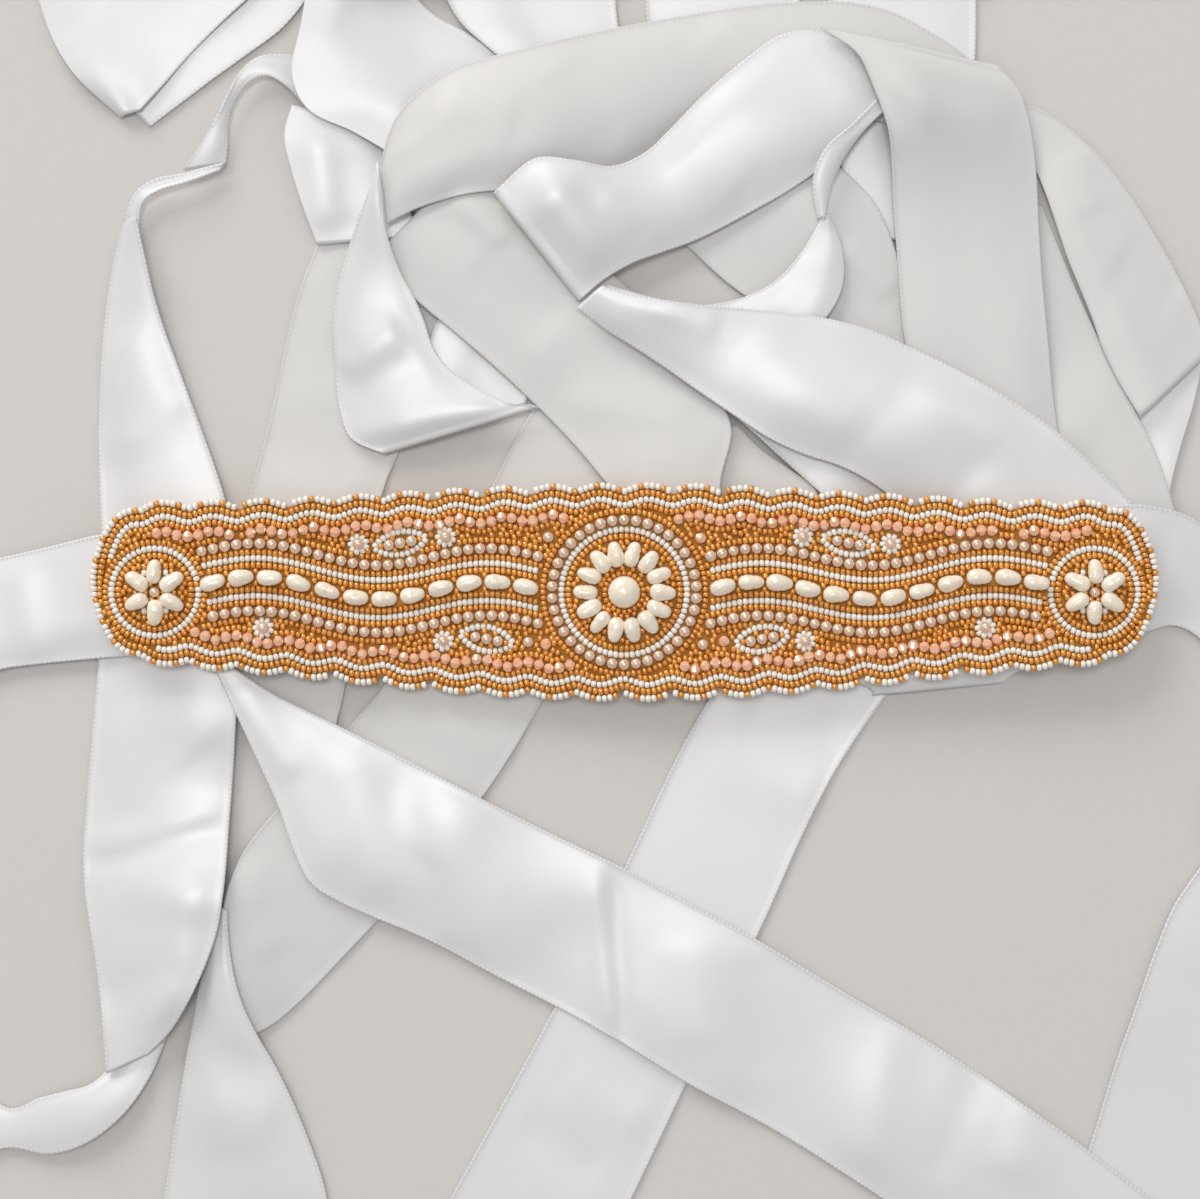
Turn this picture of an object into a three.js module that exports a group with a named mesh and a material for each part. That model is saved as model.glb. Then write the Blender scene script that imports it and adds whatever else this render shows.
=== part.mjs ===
// Bridal sash: one long white satin ribbon that lies in loose loops, with a beaded panel sewn on it.
// Millimetres, +Z up. X runs along the beaded panel and Y across it. Everything rests on the plane z = 0.
// The origin is on the flat underside of the ribbon stretch that lies lowest below the panel.
import * as THREE from "three";

// Driving sizes
const RIBBON_WIDTH = 38;
const CLOTH = 1.0;
const LAYER_GAP = 0.3;
const FACETS_ACROSS = 4;
const MAP_HALF = 232;
const MAP_CELL = 1.0;
const SAMPLE_STEP = 0.7;
const FOLD_STEPS = 3;

// Beaded panel: a long crescent with a scalloped rim, a round flower in the middle, a stem of long
// pearls to each side and a small flower at each tip
const PANEL_LENGTH = 270;
const PANEL_MIDDLE_HALF = 26.5;
const PANEL_SIDE_HALF = 19.5;
const PANEL_ROUND_SHARE = 0.12;
const END_HALF = 3;
const PANEL_BOW = 3;
const PANEL_CENTRE_X = 16.4;
const PANEL_CENTRE_Y = 2;
const PANEL_BACKING = 1.6;
const PANEL_FACETS_ALONG = 150;
const PANEL_FACETS_ACROSS = 20;
const SMALL_BEAD_HEIGHT = 0.8;
const SCALLOP_DEPTH = 1.6;
const SCALLOPS_EACH_SIDE = 11;
const ROSETTE_RADIUS = 20;
const CENTRE_PEARL = 8;
const PETAL_COUNT = 14;
const PETAL_RING = 9.8;
const PETAL_LENGTH = 6.6;
const PETAL_WIDTH = 4.2;
const PETAL_HEIGHT = 3;
const STEM_COUNT = 12;
const STEM_START = 25;
const STEM_PITCH = 7.2;
const STEM_WAVE = 2.4;
const STEM_WAVE_LENGTH = 9.2;
const TIP_X = 119;
const TIP_PETALS = 6;

const WHITE_SATIN = { color: 0xf7f5f2, roughness: 0.35, metalness: 0.0 };
const GOLD_BEADWORK = { color: 0xd9a650, roughness: 0.35, metalness: 0.3 };

// Each stretch of ribbon is a row of sections, listed from the lowest stretch to the highest.
// x and y: middle of the section. turn: angle in degrees of the line across the ribbon.
// wide: share of the full ribbon width that shows from above. first, crown and last: how far the
// first selvedge, the middle and the last selvedge stand above what the ribbon lies on.
// foldStart and foldEnd: radius of a soft fold that carries that end down to the layer below.
const stretches = [
  {
    name: "lower_cross", step: 8,
    rows: [
      { x: 14.4, y: 47.8, turn: -27.3, wide: 1.004, first: 0, crown: 0, last: 0 },
      { x: 4.1, y: 29.8, turn: -27.3, wide: 1.004, first: 0, crown: 0, last: 0 },
      { x: -2.6, y: 16.4, turn: -29, wide: 1.005, first: 0, crown: 0.2, last: 0 },
      { x: -16.6, y: -9, turn: -28.5, wide: 0.993, first: 0, crown: 0.3, last: 0 },
      { x: -27.9, y: -29.4, turn: -36, wide: 0.978, first: 0, crown: 0.5, last: 0 },
      { x: -39.2, y: -44.5, turn: -42, wide: 1.01, first: 0, crown: 0.6, last: 0 },
      { x: -56.3, y: -64.2, turn: -47.2, wide: 1.015, first: 0.3, crown: 0.9, last: 0 },
      { x: -67.7, y: -77.4, turn: -44.7, wide: 0.98, first: 1, crown: 0.8, last: 0 },
      { x: -75, y: -88.9, turn: -47.6, wide: 0.843, first: 2.2, crown: 0.6, last: 0 },
      { x: -78.8, y: -97.4, turn: -50.5, wide: 0.649, first: 3, crown: 0.4, last: 0 },
      { x: -80.8, y: -104.1, turn: -53.5, wide: 0.421, first: 3, crown: 0.2, last: 0.4 },
      { x: -81.2, y: -107.7, turn: -56.3, wide: 0.244, first: 2.6, crown: 0, last: 0.8 },
    ],
  },
  {
    name: "lower_right_run", step: 9,
    rows: [
      { x: 100.2, y: 30.8, turn: -26.6, wide: 0.998, first: 0, crown: 0, last: 0 },
      { x: 82.2, y: 5.1, turn: -33.9, wide: 0.994, first: 0, crown: 0, last: 0 },
      { x: 53.7, y: -36, turn: -25.9, wide: 0.992, first: 0, crown: 0, last: 0 },
      { x: 34.1, y: -76.6, turn: -25.4, wide: 1.01, first: 0, crown: 0, last: 0 },
      { x: 15.8, y: -113.9, turn: -25.7, wide: 1.028, first: 0, crown: 0, last: 0 },
      { x: -10.3, y: -163.7, turn: -28.5, wide: 1.077, first: 0, crown: 0, last: 0 },
      { x: -25.1, y: -182.1, turn: -59.4, wide: 0.998, first: 0, crown: 0, last: 0 },
    ],
  },
  {
    name: "far_right_run", step: 9,
    rows: [
      { x: 183.9, y: -73.8, turn: -34.8, wide: 0.996, first: 0, crown: 0.4, last: 0 },
      { x: 172.8, y: -89.3, turn: -31, wide: 0.986, first: 0.6, crown: 0.3, last: 0 },
      { x: 169.9, y: -98.7, turn: -18.7, wide: 1.014, first: 1, crown: 0.3, last: 0 },
      { x: 166, y: -109.2, turn: -16.5, wide: 1.001, first: 0.8, crown: 0, last: 0 },
      { x: 160.8, y: -124, turn: -17.7, wide: 1.001, first: 0.4, crown: 0, last: 0 },
      { x: 154.5, y: -144.7, turn: -15.7, wide: 0.998, first: 0, crown: 0, last: 0 },
      { x: 145.8, y: -172.2, turn: -15.4, wide: 1.017, first: 0, crown: 0, last: 0 },
    ],
  },
  {
    name: "left_under_run", step: 9,
    rows: [
      { x: -42.1, y: 91.2, turn: -15.7, wide: 0.998, first: 0, crown: 0.3, last: 0 },
      { x: -48.8, y: 75.2, turn: -14, wide: 0.976, first: 0, crown: 0.3, last: 0 },
      { x: -52.8, y: 59.8, turn: -14.1, wide: 0.969, first: 0, crown: 0.3, last: 0 },
      { x: -58.1, y: 41.8, turn: -15.3, wide: 0.897, first: 0, crown: 0.4, last: 0 },
      { x: -62.8, y: 26.1, turn: -1.3, wide: 0.886, first: 0, crown: 0.5, last: 0 },
      { x: -67.6, y: 3.9, turn: -4.4, wide: 0.882, first: 0, crown: 0.3, last: 0 },
      { x: -71.1, y: -18.6, turn: -15.9, wide: 0.865, first: 0, crown: 0, last: 0 },
      { x: -69.9, y: -31.1, turn: -10.6, wide: 0.661, first: 0, crown: 0, last: 0 },
      { x: -66.6, y: -47.5, turn: -13.6, wide: 0.404, first: 0, crown: 0, last: 0 },
      { x: -63.5, y: -64.2, turn: -12.5, wide: 0.125, first: 0, crown: 0, last: 0 },
    ],
  },
  {
    name: "lower_left_drop", step: 8,
    rows: [
      { x: -86.4, y: -78.6, turn: -9.5, wide: 0.082, first: 3, crown: 0.2, last: 1.5 },
      { x: -86.7, y: -87.4, turn: -27.8, wide: 0.145, first: 3.4, crown: 0.3, last: 1.8 },
      { x: -86.7, y: -97.7, turn: -28.4, wide: 0.284, first: 3, crown: 0.6, last: 1.8 },
      { x: -85.6, y: -108.2, turn: -16.2, wide: 0.437, first: 2.4, crown: 0.8, last: 1.4 },
      { x: -83.4, y: -121.4, turn: -8.6, wide: 0.677, first: 1.6, crown: 1, last: 1 },
      { x: -81.7, y: -137.2, turn: -3.4, wide: 0.908, first: 0.8, crown: 1.1, last: 0.6 },
      { x: -80.7, y: -152.8, turn: 0.4, wide: 1.096, first: 0.3, crown: 0.8, last: 0.3 },
      { x: -81.7, y: -163.7, turn: 2.1, wide: 1.11, first: 0, crown: 0.3, last: 0 },
      { x: -86.1, y: -187.4, turn: 27.5, wide: 1.143, first: 0, crown: 0, last: 0 },
    ],
  },
  {
    name: "bottom_turn", step: 9,
    rows: [
      { x: -24.4, y: -183.4, turn: -59.1, wide: 0.922, first: 0, crown: 0, last: 0 },
      { x: -63, y: -182.7, turn: -76.2, wide: 0.85, first: 0, crown: 0.3, last: 0 },
      { x: -83.1, y: -180.9, turn: -88.7, wide: 0.866, first: 0, crown: 0.3, last: 0 },
      { x: -104.3, y: -183.5, turn: -94.4, wide: 0.705, first: 0, crown: 0, last: 0 },
    ],
  },
  {
    name: "left_tail", step: 9,
    rows: [
      { x: -105.1, y: -103.1, turn: 20.8, wide: 0.42, first: 0, crown: 0.2, last: 0 },
      { x: -107.4, y: -113.1, turn: 13, wide: 0.361, first: 0, crown: 0.4, last: 0.6 },
      { x: -111.3, y: -122.6, turn: -13.4, wide: 0.292, first: 0.6, crown: 0.6, last: 1.4 },
      { x: -117.4, y: -128.8, turn: -43.3, wide: 0.316, first: 1, crown: 0.8, last: 2.2 },
      { x: -125.4, y: -133, turn: -69.3, wide: 0.383, first: 0.8, crown: 1, last: 2.2 },
      { x: -134.7, y: -135.2, turn: -81.6, wide: 0.369, first: 0.5, crown: 0.8, last: 1.8 },
      { x: -144.2, y: -135.2, turn: -92.9, wide: 0.271, first: 0, crown: 0.5, last: 1.4 },
      { x: -156.8, y: -132.9, turn: -90, wide: 0.744, first: 0, crown: 0.3, last: 0.4 },
      { x: -174.8, y: -130.8, turn: -90, wide: 1.001, first: 0, crown: 0, last: 0 },
      { x: -195.3, y: -131.8, turn: -90, wide: 0.987, first: 0, crown: 0, last: 0 },
    ],
  },
  {
    name: "far_left_drop", step: 9,
    rows: [
      { x: -100, y: -4.1, turn: 0, wide: 0.974, first: 0, crown: 0.2, last: 0 },
      { x: -100.5, y: -20.3, turn: -8.8, wide: 0.972, first: 0, crown: 0.8, last: 0 },
      { x: -101.8, y: -37.5, turn: -4.8, wide: 0.977, first: 0, crown: 1.2, last: 0 },
      { x: -103.2, y: -56.5, turn: -3.9, wide: 0.983, first: 0.3, crown: 1.4, last: 0.3 },
      { x: -103.8, y: -70.7, turn: -4, wide: 0.976, first: 1.2, crown: 2.2, last: 1 },
      { x: -103.7, y: -83.1, turn: -1.3, wide: 0.886, first: 2.4, crown: 1.2, last: 1.4 },
      { x: -104.6, y: -94.8, turn: 1.1, wide: 0.731, first: 2.6, crown: 0.8, last: 2 },
      { x: -107.3, y: -107.9, turn: 0, wide: 0.507, first: 2.4, crown: 0.5, last: 3 },
      { x: -110.6, y: -118.5, turn: 26, wide: 0.309, first: 1.5, crown: 0.4, last: 4 },
    ],
  },
  {
    name: "left_arc_edge", step: 6,
    rows: [
      { x: -58.9, y: 131.1, turn: -88, wide: 0.379, first: 0, crown: 0.2, last: 0.3 },
      { x: -66.3, y: 133.1, turn: -90, wide: 0.325, first: 0.4, crown: 0.5, last: 1.6 },
      { x: -72, y: 136.3, turn: -74.6, wide: 0.203, first: 1.6, crown: 0.5, last: 2.8 },
      { x: -77.9, y: 135.8, turn: -56.3, wide: 0.122, first: 2.8, crown: 0.3, last: 2.8 },
      { x: -82.4, y: 131.2, turn: -37.9, wide: 0.077, first: 3, crown: 0.2, last: 2.2 },
      { x: -85.5, y: 124.9, turn: -24, wide: 0.067, first: 2.8, crown: 0.2, last: 1.6 },
      { x: -88, y: 118, turn: 9.1, wide: 0.171, first: 2, crown: 0.6, last: 1.2 },
      { x: -91.1, y: 110.9, turn: 9.2, wide: 0.295, first: 1, crown: 0.5, last: 0.6 },
    ],
  },
  {
    name: "left_twist_edge", step: 6,
    rows: [
      { x: -86.1, y: 111, turn: -126.9, wide: 0.068, first: 0.3, crown: 0, last: 0.8 },
      { x: -90.7, y: 109.5, turn: -63.4, wide: 0.06, first: 0.6, crown: 0, last: 1.6 },
      { x: -96.2, y: 107.7, turn: -73.3, wide: 0.071, first: 0.8, crown: 0, last: 2.4 },
      { x: -101.8, y: 106.4, turn: -71.6, wide: 0.086, first: 0.9, crown: 0, last: 2.6 },
      { x: -106.4, y: 104, turn: -54, wide: 0.092, first: 1, crown: 0.2, last: 2.8 },
      { x: -109, y: 100.2, turn: -8.1, wide: 0.096, first: 1, crown: 0.2, last: 2.2 },
      { x: -109.5, y: 92.8, turn: 7.1, wide: 0.109, first: 0.6, crown: 0, last: 1.4 },
    ],
  },
  {
    name: "far_left_rise", step: 9,
    rows: [
      { x: -109.6, y: 97.1, turn: 31.6, wide: 0.103, first: 3, crown: 0.4, last: 5 },
      { x: -109.7, y: 90, turn: -8.1, wide: 0.191, first: 1.8, crown: 0.6, last: 4.2 },
      { x: -109.4, y: 74.8, turn: -6.5, wide: 0.361, first: 0.8, crown: 1, last: 3.2 },
      { x: -107.4, y: 57.3, turn: 1.4, wide: 0.555, first: 0.3, crown: 1.4, last: 2.2 },
      { x: -104.5, y: 39.6, turn: 2.1, wide: 0.738, first: 0, crown: 1.4, last: 1.4 },
      { x: -102, y: 26.1, turn: 1.4, wide: 0.852, first: 0, crown: 1.2, last: 0.8 },
      { x: -99.8, y: 10.3, turn: 0, wide: 0.94, first: 0, crown: 0.4, last: 0 },
      { x: -100, y: -3.1, turn: 0, wide: 0.974, first: 0, crown: 0, last: 0 },
    ],
  },
  {
    name: "left_turn", step: 9,
    rows: [
      { x: -177.1, y: -149.8, turn: 2.4, wide: 0.988, first: 0, crown: 0, last: 0 },
      { x: -177.3, y: -113.1, turn: 0, wide: 1.001, first: 0, crown: 0.3, last: 0 },
      { x: -177.3, y: -66.8, turn: 0, wide: 1.001, first: 0, crown: 0.4, last: 0 },
      { x: -177.1, y: -24.4, turn: 3.9, wide: 0.99, first: 0, crown: 0.3, last: 0 },
      { x: -175.8, y: 12.9, turn: 7.5, wide: 1.037, first: 0, crown: 0, last: 0 },
    ],
  },
  {
    name: "top_left_back", step: 9,
    rows: [
      { x: -110.8, y: 127, turn: -46.3, wide: 0.411, first: 0, crown: 0.3, last: 0 },
      { x: -97.7, y: 140.7, turn: -29.4, wide: 0.621, first: 0, crown: 0.4, last: 0 },
      { x: -85.2, y: 152.9, turn: -13.3, wide: 0.883, first: 0, crown: 0.4, last: 0 },
      { x: -78.4, y: 166, turn: -4.6, wide: 1.018, first: 0, crown: 0.3, last: 0 },
    ],
  },
  {
    name: "top_left_front", step: 9, foldEnd: 1.8,
    rows: [
      { x: -110, y: 124.6, turn: 16.7, wide: 0.141, first: 0.3, crown: 0, last: 0.3 },
      { x: -112.2, y: 131.6, turn: -3, wide: 0.521, first: 0.6, crown: 0.4, last: 0 },
      { x: -111.4, y: 141.4, turn: -1.7, wide: 0.927, first: 1, crown: 0.5, last: 0 },
      { x: -106.7, y: 154.2, turn: 0, wide: 1.42, first: 1, crown: 0.6, last: 0 },
      { x: -98.7, y: 171.9, turn: -1.1, wide: 2.083, first: 0.6, crown: 0.3, last: 0 },
    ],
  },
  {
    name: "left_fold_panel", step: 9,
    rows: [
      { x: -54.5, y: 123.1, turn: -13.5, wide: 0.751, first: 2.4, crown: 0.6, last: 0 },
      { x: -55.5, y: 116.9, turn: -12.6, wide: 0.804, first: 3, crown: 1, last: 0 },
      { x: -54.7, y: 109.7, turn: -10.9, wide: 0.785, first: 2.6, crown: 1.2, last: 0 },
      { x: -52.2, y: 100.7, turn: -6.2, wide: 0.748, first: 1.6, crown: 0.8, last: 0 },
      { x: -49.1, y: 92, turn: 4.5, wide: 0.692, first: 0.3, crown: 0.3, last: 0 },
    ],
  },
  {
    name: "top_cross_panel", step: 9,
    rows: [
      { x: -50.9, y: 166.5, turn: 180, wide: 0.703, first: 0, crown: 0.3, last: 0 },
      { x: -51.1, y: 154.2, turn: 180, wide: 0.717, first: 0, crown: 0.4, last: 1.2 },
      { x: -47.5, y: 144.9, turn: 190.6, wide: 1.032, first: 0, crown: 0.5, last: 1.8 },
      { x: -44.5, y: 136, turn: 198.8, wide: 1.3, first: 0, crown: 0.6, last: 1.4 },
      { x: -34.7, y: 130.2, turn: 204.5, wide: 1.189, first: 0, crown: 0.6, last: 0.4 },
      { x: -25.7, y: 124.3, turn: 209.4, wide: 1.087, first: 0, crown: 0.4, last: 0 },
      { x: -10.9, y: 113.7, turn: 214.2, wide: 1.022, first: 0, crown: 0.2, last: 0 },
    ],
  },
  {
    name: "top_mid_panel", step: 9,
    rows: [
      { x: -8.6, y: 166.5, turn: 0, wide: 1.238, first: 0, crown: 0.3, last: 0 },
      { x: -6.9, y: 152.1, turn: 1.4, wide: 1.123, first: 0, crown: 0.5, last: 0 },
      { x: 1, y: 138.8, turn: 0, wide: 0.866, first: 0, crown: 0.3, last: 0 },
      { x: 11.6, y: 127.2, turn: 6.3, wide: 0.612, first: 0, crown: 0, last: 0 },
    ],
  },
  {
    name: "top_right_panel_low", step: 9,
    rows: [
      { x: 42.4, y: 166.5, turn: 0, wide: 1.014, first: 0, crown: 0.3, last: 0 },
      { x: 41.8, y: 154.2, turn: 0, wide: 1.048, first: 0, crown: 0.4, last: 0 },
      { x: 42.7, y: 138.8, turn: 0, wide: 1.001, first: 0, crown: 0.2, last: 0 },
    ],
  },
  {
    name: "top_right_panel", step: 9,
    rows: [
      { x: 87.9, y: 166.5, turn: 0, wide: 1.001, first: 0, crown: 0.3, last: 0 },
      { x: 87.9, y: 154.2, turn: 0, wide: 1.001, first: 0, crown: 0.5, last: 0 },
      { x: 88.2, y: 143.3, turn: -2, wide: 0.988, first: 0, crown: 0.3, last: 0 },
      { x: 88.3, y: 130.4, turn: -2.1, wide: 0.927, first: 0, crown: 0, last: 0 },
    ],
  },
  {
    name: "top_turn_left", step: 9,
    rows: [
      { x: -66, y: 176.6, turn: 92.4, wide: 0.988, first: 0, crown: 0, last: 0 },
      { x: -46.3, y: 177.1, turn: 90, wide: 0.987, first: 0, crown: 0.3, last: 0 },
      { x: -25.7, y: 177.1, turn: 90, wide: 0.987, first: 0, crown: 0.3, last: 0 },
      { x: -5.1, y: 177.1, turn: 90, wide: 0.987, first: 0, crown: 0.3, last: 0 },
      { x: 16.7, y: 176.6, turn: 87.6, wide: 0.988, first: 0, crown: 0, last: 0 },
    ],
  },
  {
    name: "top_turn_right", step: 9,
    rows: [
      { x: 21.3, y: 176.6, turn: 92.4, wide: 0.988, first: 0, crown: 0, last: 0 },
      { x: 43.7, y: 177.1, turn: 90, wide: 0.987, first: 0, crown: 0.3, last: 0 },
      { x: 65.5, y: 177.1, turn: 90, wide: 0.987, first: 0, crown: 0.3, last: 0 },
      { x: 87.4, y: 177.1, turn: 90, wide: 0.987, first: 0, crown: 0.3, last: 0 },
      { x: 109.2, y: 176.6, turn: 87.6, wide: 0.988, first: 0, crown: 0, last: 0 },
    ],
  },
  {
    name: "loop_return", step: 9,
    rows: [
      { x: -24.7, y: 45.5, turn: 17, wide: 0.877, first: 0, crown: 0.5, last: 0 },
      { x: -19.9, y: 60.4, turn: 12.9, wide: 0.909, first: 0, crown: 0.5, last: 0 },
      { x: -11.8, y: 77.1, turn: 11.5, wide: 1.021, first: 0, crown: 0.4, last: 0 },
      { x: -5.8, y: 91, turn: 10.9, wide: 0.999, first: 0, crown: 0, last: 0 },
    ],
  },
  {
    name: "inner_right_sliver", step: 9,
    rows: [
      { x: 34.3, y: 44.3, turn: 3.3, wide: 0.589, first: 0, crown: 0.2, last: 0.3 },
      { x: 40.7, y: 34.8, turn: 5.9, wide: 0.727, first: 0, crown: 0.3, last: 0.3 },
      { x: 49.5, y: 24.4, turn: 13.5, wide: 0.869, first: 0, crown: 0.3, last: 0.2 },
      { x: 52.2, y: 7.7, turn: 9, wide: 0.863, first: 0, crown: 0, last: 0 },
    ],
  },
  {
    name: "middle_run", step: 9,
    rows: [
      { x: -35, y: 100.2, turn: 45, wide: 0.995, first: 0, crown: 0.6, last: 0 },
      { x: -23.1, y: 89.7, turn: 45, wide: 0.995, first: 0, crown: 1.6, last: 0 },
      { x: -7.7, y: 76.5, turn: 46.4, wide: 0.981, first: 0, crown: 1.8, last: 0 },
      { x: 6.9, y: 63.7, turn: 44.5, wide: 1.004, first: 0.4, crown: 1.6, last: 0 },
      { x: 20.4, y: 48.2, turn: 26.4, wide: 0.989, first: 0.8, crown: 1.2, last: 0.6 },
      { x: 27.5, y: 37, turn: 20.6, wide: 0.925, first: 0.6, crown: 1, last: 1 },
      { x: 28, y: 26.7, turn: 4.5, wide: 0.692, first: 0.2, crown: 0.5, last: 0.6 },
      { x: 33.2, y: 10.8, turn: 2.2, wide: 0.717, first: 0, crown: 0, last: 0 },
    ],
  },
  {
    name: "inner_tongue", step: 9,
    rows: [
      { x: 81.9, y: 129, turn: -9.3, wide: 0.5, first: 0, crown: 0.2, last: 0 },
      { x: 81.1, y: 119.5, turn: -7.2, wide: 0.539, first: 0, crown: 0.5, last: 0 },
      { x: 81.6, y: 110.1, turn: -5.3, wide: 0.509, first: 0, crown: 0.7, last: 0 },
      { x: 83.3, y: 101.1, turn: -3.1, wide: 0.379, first: 0, crown: 0.5, last: 0 },
      { x: 86.1, y: 92.3, turn: -3.8, wide: 0.203, first: 0, crown: 0.2, last: 0 },
    ],
  },
  {
    name: "back_panel", step: 9,
    rows: [
      { x: 42, y: 107.9, turn: -134.7, wide: 0.99, first: 0, crown: 0.4, last: 0 },
      { x: 57.3, y: 96, turn: -131.7, wide: 1.078, first: 0, crown: 1.2, last: 0.4 },
      { x: 70.7, y: 84.2, turn: -128, wide: 0.988, first: 0.7, crown: 1, last: 0 },
      { x: 76.5, y: 69.1, turn: -139.2, wide: 0.849, first: 0.5, crown: 0.6, last: 0 },
      { x: 81.7, y: 52.4, turn: -143.5, wide: 0.774, first: 0, crown: 0, last: 0 },
    ],
  },
  {
    name: "right_loop_under", step: 9,
    rows: [
      { x: 155.7, y: 57.8, turn: 31.2, wide: 0.601, first: 0, crown: 0.3, last: 0 },
      { x: 155.7, y: 50.6, turn: 25.8, wide: 0.466, first: 0, crown: 0.4, last: 0.6 },
      { x: 155.5, y: 40.3, turn: 10, wide: 0.234, first: 0, crown: 0.4, last: 0.8 },
      { x: 155, y: 32.4, turn: -15.9, wide: 0.098, first: 0, crown: 0.2, last: 0.8 },
      { x: 152.7, y: 19.3, turn: -19.7, wide: 0.201, first: 0, crown: 0, last: 0 },
    ],
  },
  {
    name: "right_inner_run", step: 9,
    rows: [
      { x: 116.5, y: 104.6, turn: -24.5, wide: 0.424, first: 0, crown: 0.2, last: 0 },
      { x: 120, y: 86.9, turn: 0, wide: 0.5, first: 0, crown: 0.5, last: 0.4 },
      { x: 126.4, y: 69.4, turn: 0, wide: 0.568, first: 0, crown: 0.8, last: 0.3 },
      { x: 132.1, y: 51.4, turn: 0, wide: 0.73, first: 0, crown: 0.8, last: 0.3 },
      { x: 137.9, y: 34.1, turn: 2.3, wide: 0.833, first: 0, crown: 0.6, last: 0.2 },
      { x: 142.4, y: 16.7, turn: 4.5, wide: 0.868, first: 0, crown: 0.2, last: 0 },
    ],
  },
  {
    name: "right_outer_loop", step: 9, foldEnd: 2.2,
    rows: [
      { x: 119.2, y: 120.9, turn: -77.2, wide: 0.368, first: 0.6, crown: 0.2, last: 0.2 },
      { x: 127, y: 111.8, turn: -97.9, wide: 0.587, first: 0.8, crown: 0.8, last: 0 },
      { x: 136, y: 98.2, turn: -117.6, wide: 0.672, first: 1, crown: 1.2, last: 0 },
      { x: 143.5, y: 84.6, turn: -127.5, wide: 0.699, first: 1.2, crown: 1.4, last: 0 },
      { x: 150.2, y: 70.2, turn: -136.1, wide: 0.722, first: 1.6, crown: 1.3, last: 0 },
      { x: 156.6, y: 56.9, turn: -137.5, wide: 0.67, first: 2, crown: 0.6, last: 0 },
    ],
  },
  {
    name: "big_band", step: 9,
    rows: [
      { x: -44.8, y: 103.3, turn: -85.2, wide: 0.407, first: 6, crown: 1, last: 2 },
      { x: -38.6, y: 111.5, turn: -77.7, wide: 0.637, first: 4, crown: 1.8, last: 1 },
      { x: -26.2, y: 118.9, turn: -78.8, wide: 0.834, first: 2, crown: 2.2, last: 0.8 },
      { x: -11.6, y: 122.2, turn: -81.6, wide: 0.923, first: 1.2, crown: 2.8, last: 0.6 },
      { x: 8.5, y: 126.4, turn: -79.5, wide: 0.963, first: 1, crown: 3, last: 1.2 },
      { x: 24.2, y: 131.6, turn: -77.3, wide: 0.86, first: 1, crown: 3, last: 1 },
      { x: 38.6, y: 134.9, turn: -80.5, wide: 0.823, first: 1.2, crown: 2.4, last: 0.3 },
      { x: 58.9, y: 136.9, turn: -81.8, wide: 0.854, first: 1.5, crown: 1.8, last: 0 },
      { x: 78, y: 138, turn: -91.5, wide: 0.771, first: 1, crown: 1, last: 0 },
      { x: 88, y: 134, turn: -100.1, wide: 0.735, first: 0.6, crown: 0.6, last: 0 },
      { x: 96.6, y: 128.8, turn: -107.4, wide: 0.723, first: 0.3, crown: 0.4, last: 0 },
      { x: 105, y: 121.2, turn: -116.8, wide: 0.705, first: 0, crown: 0.2, last: 0 },
    ],
  },
  {
    name: "left_loop", step: 7, foldEnd: 2.2,
    rows: [
      { x: -45.4, y: 107.2, turn: -80.5, wide: 0.206, first: 5, crown: 1, last: 7 },
      { x: -46.6, y: 99.2, turn: -58.7, wide: 0.222, first: 4, crown: 1.2, last: 7 },
      { x: -47.5, y: 87.4, turn: -21.8, wide: 0.364, first: 2, crown: 1.8, last: 5.5 },
      { x: -46.9, y: 74.8, turn: 1.3, wide: 0.575, first: 0.8, crown: 2.4, last: 4 },
      { x: -44.2, y: 61.4, turn: 1.1, wide: 0.703, first: 0.8, crown: 3, last: 3 },
      { x: -40.3, y: 53.5, turn: 7, wide: 0.886, first: 0.8, crown: 3.2, last: 2 },
      { x: -35.1, y: 47, turn: 11.1, wide: 1.054, first: 1, crown: 2.8, last: 1.6 },
      { x: -31.4, y: 45, turn: 15.1, wide: 1.093, first: 1, crown: 2.2, last: 1.2 },
      { x: -27, y: 43.9, turn: 16.6, wide: 1.087, first: 0.6, crown: 1.4, last: 0.6 },
    ],
  },
  {
    name: "upper_cross_band", step: 9, foldStart: 2.4,
    rows: [
      { x: -4.2, y: 91.2, turn: -51.3, wide: 0.919, first: 1, crown: 2.2, last: 1.2 },
      { x: 3.6, y: 97.3, turn: -59.8, wide: 0.915, first: 2.2, crown: 3.6, last: 1.6 },
      { x: 13.5, y: 98.9, turn: -59.7, wide: 0.737, first: 2.2, crown: 3, last: 1.8 },
      { x: 22.7, y: 100.2, turn: -56.5, wide: 0.649, first: 2.2, crown: 2.4, last: 1.6 },
      { x: 30.8, y: 104.6, turn: -60.9, wide: 0.696, first: 2.4, crown: 2.6, last: 1.6 },
      { x: 41.1, y: 112.2, turn: -59.8, wide: 0.806, first: 2.4, crown: 3.2, last: 1.6 },
      { x: 53.3, y: 121.2, turn: -60.5, wide: 0.893, first: 2, crown: 3.4, last: 1.2 },
      { x: 65.5, y: 130.2, turn: -62, wide: 0.865, first: 1.2, crown: 2.6, last: 0.6 },
      { x: 73.2, y: 134.3, turn: -60.4, wide: 0.63, first: 0.6, crown: 1.2, last: 0.4 },
      { x: 79.7, y: 134.9, turn: -68.2, wide: 0.364, first: 0, crown: 0, last: 0 },
    ],
  },
  {
    name: "crescent_face", step: 9,
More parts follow.
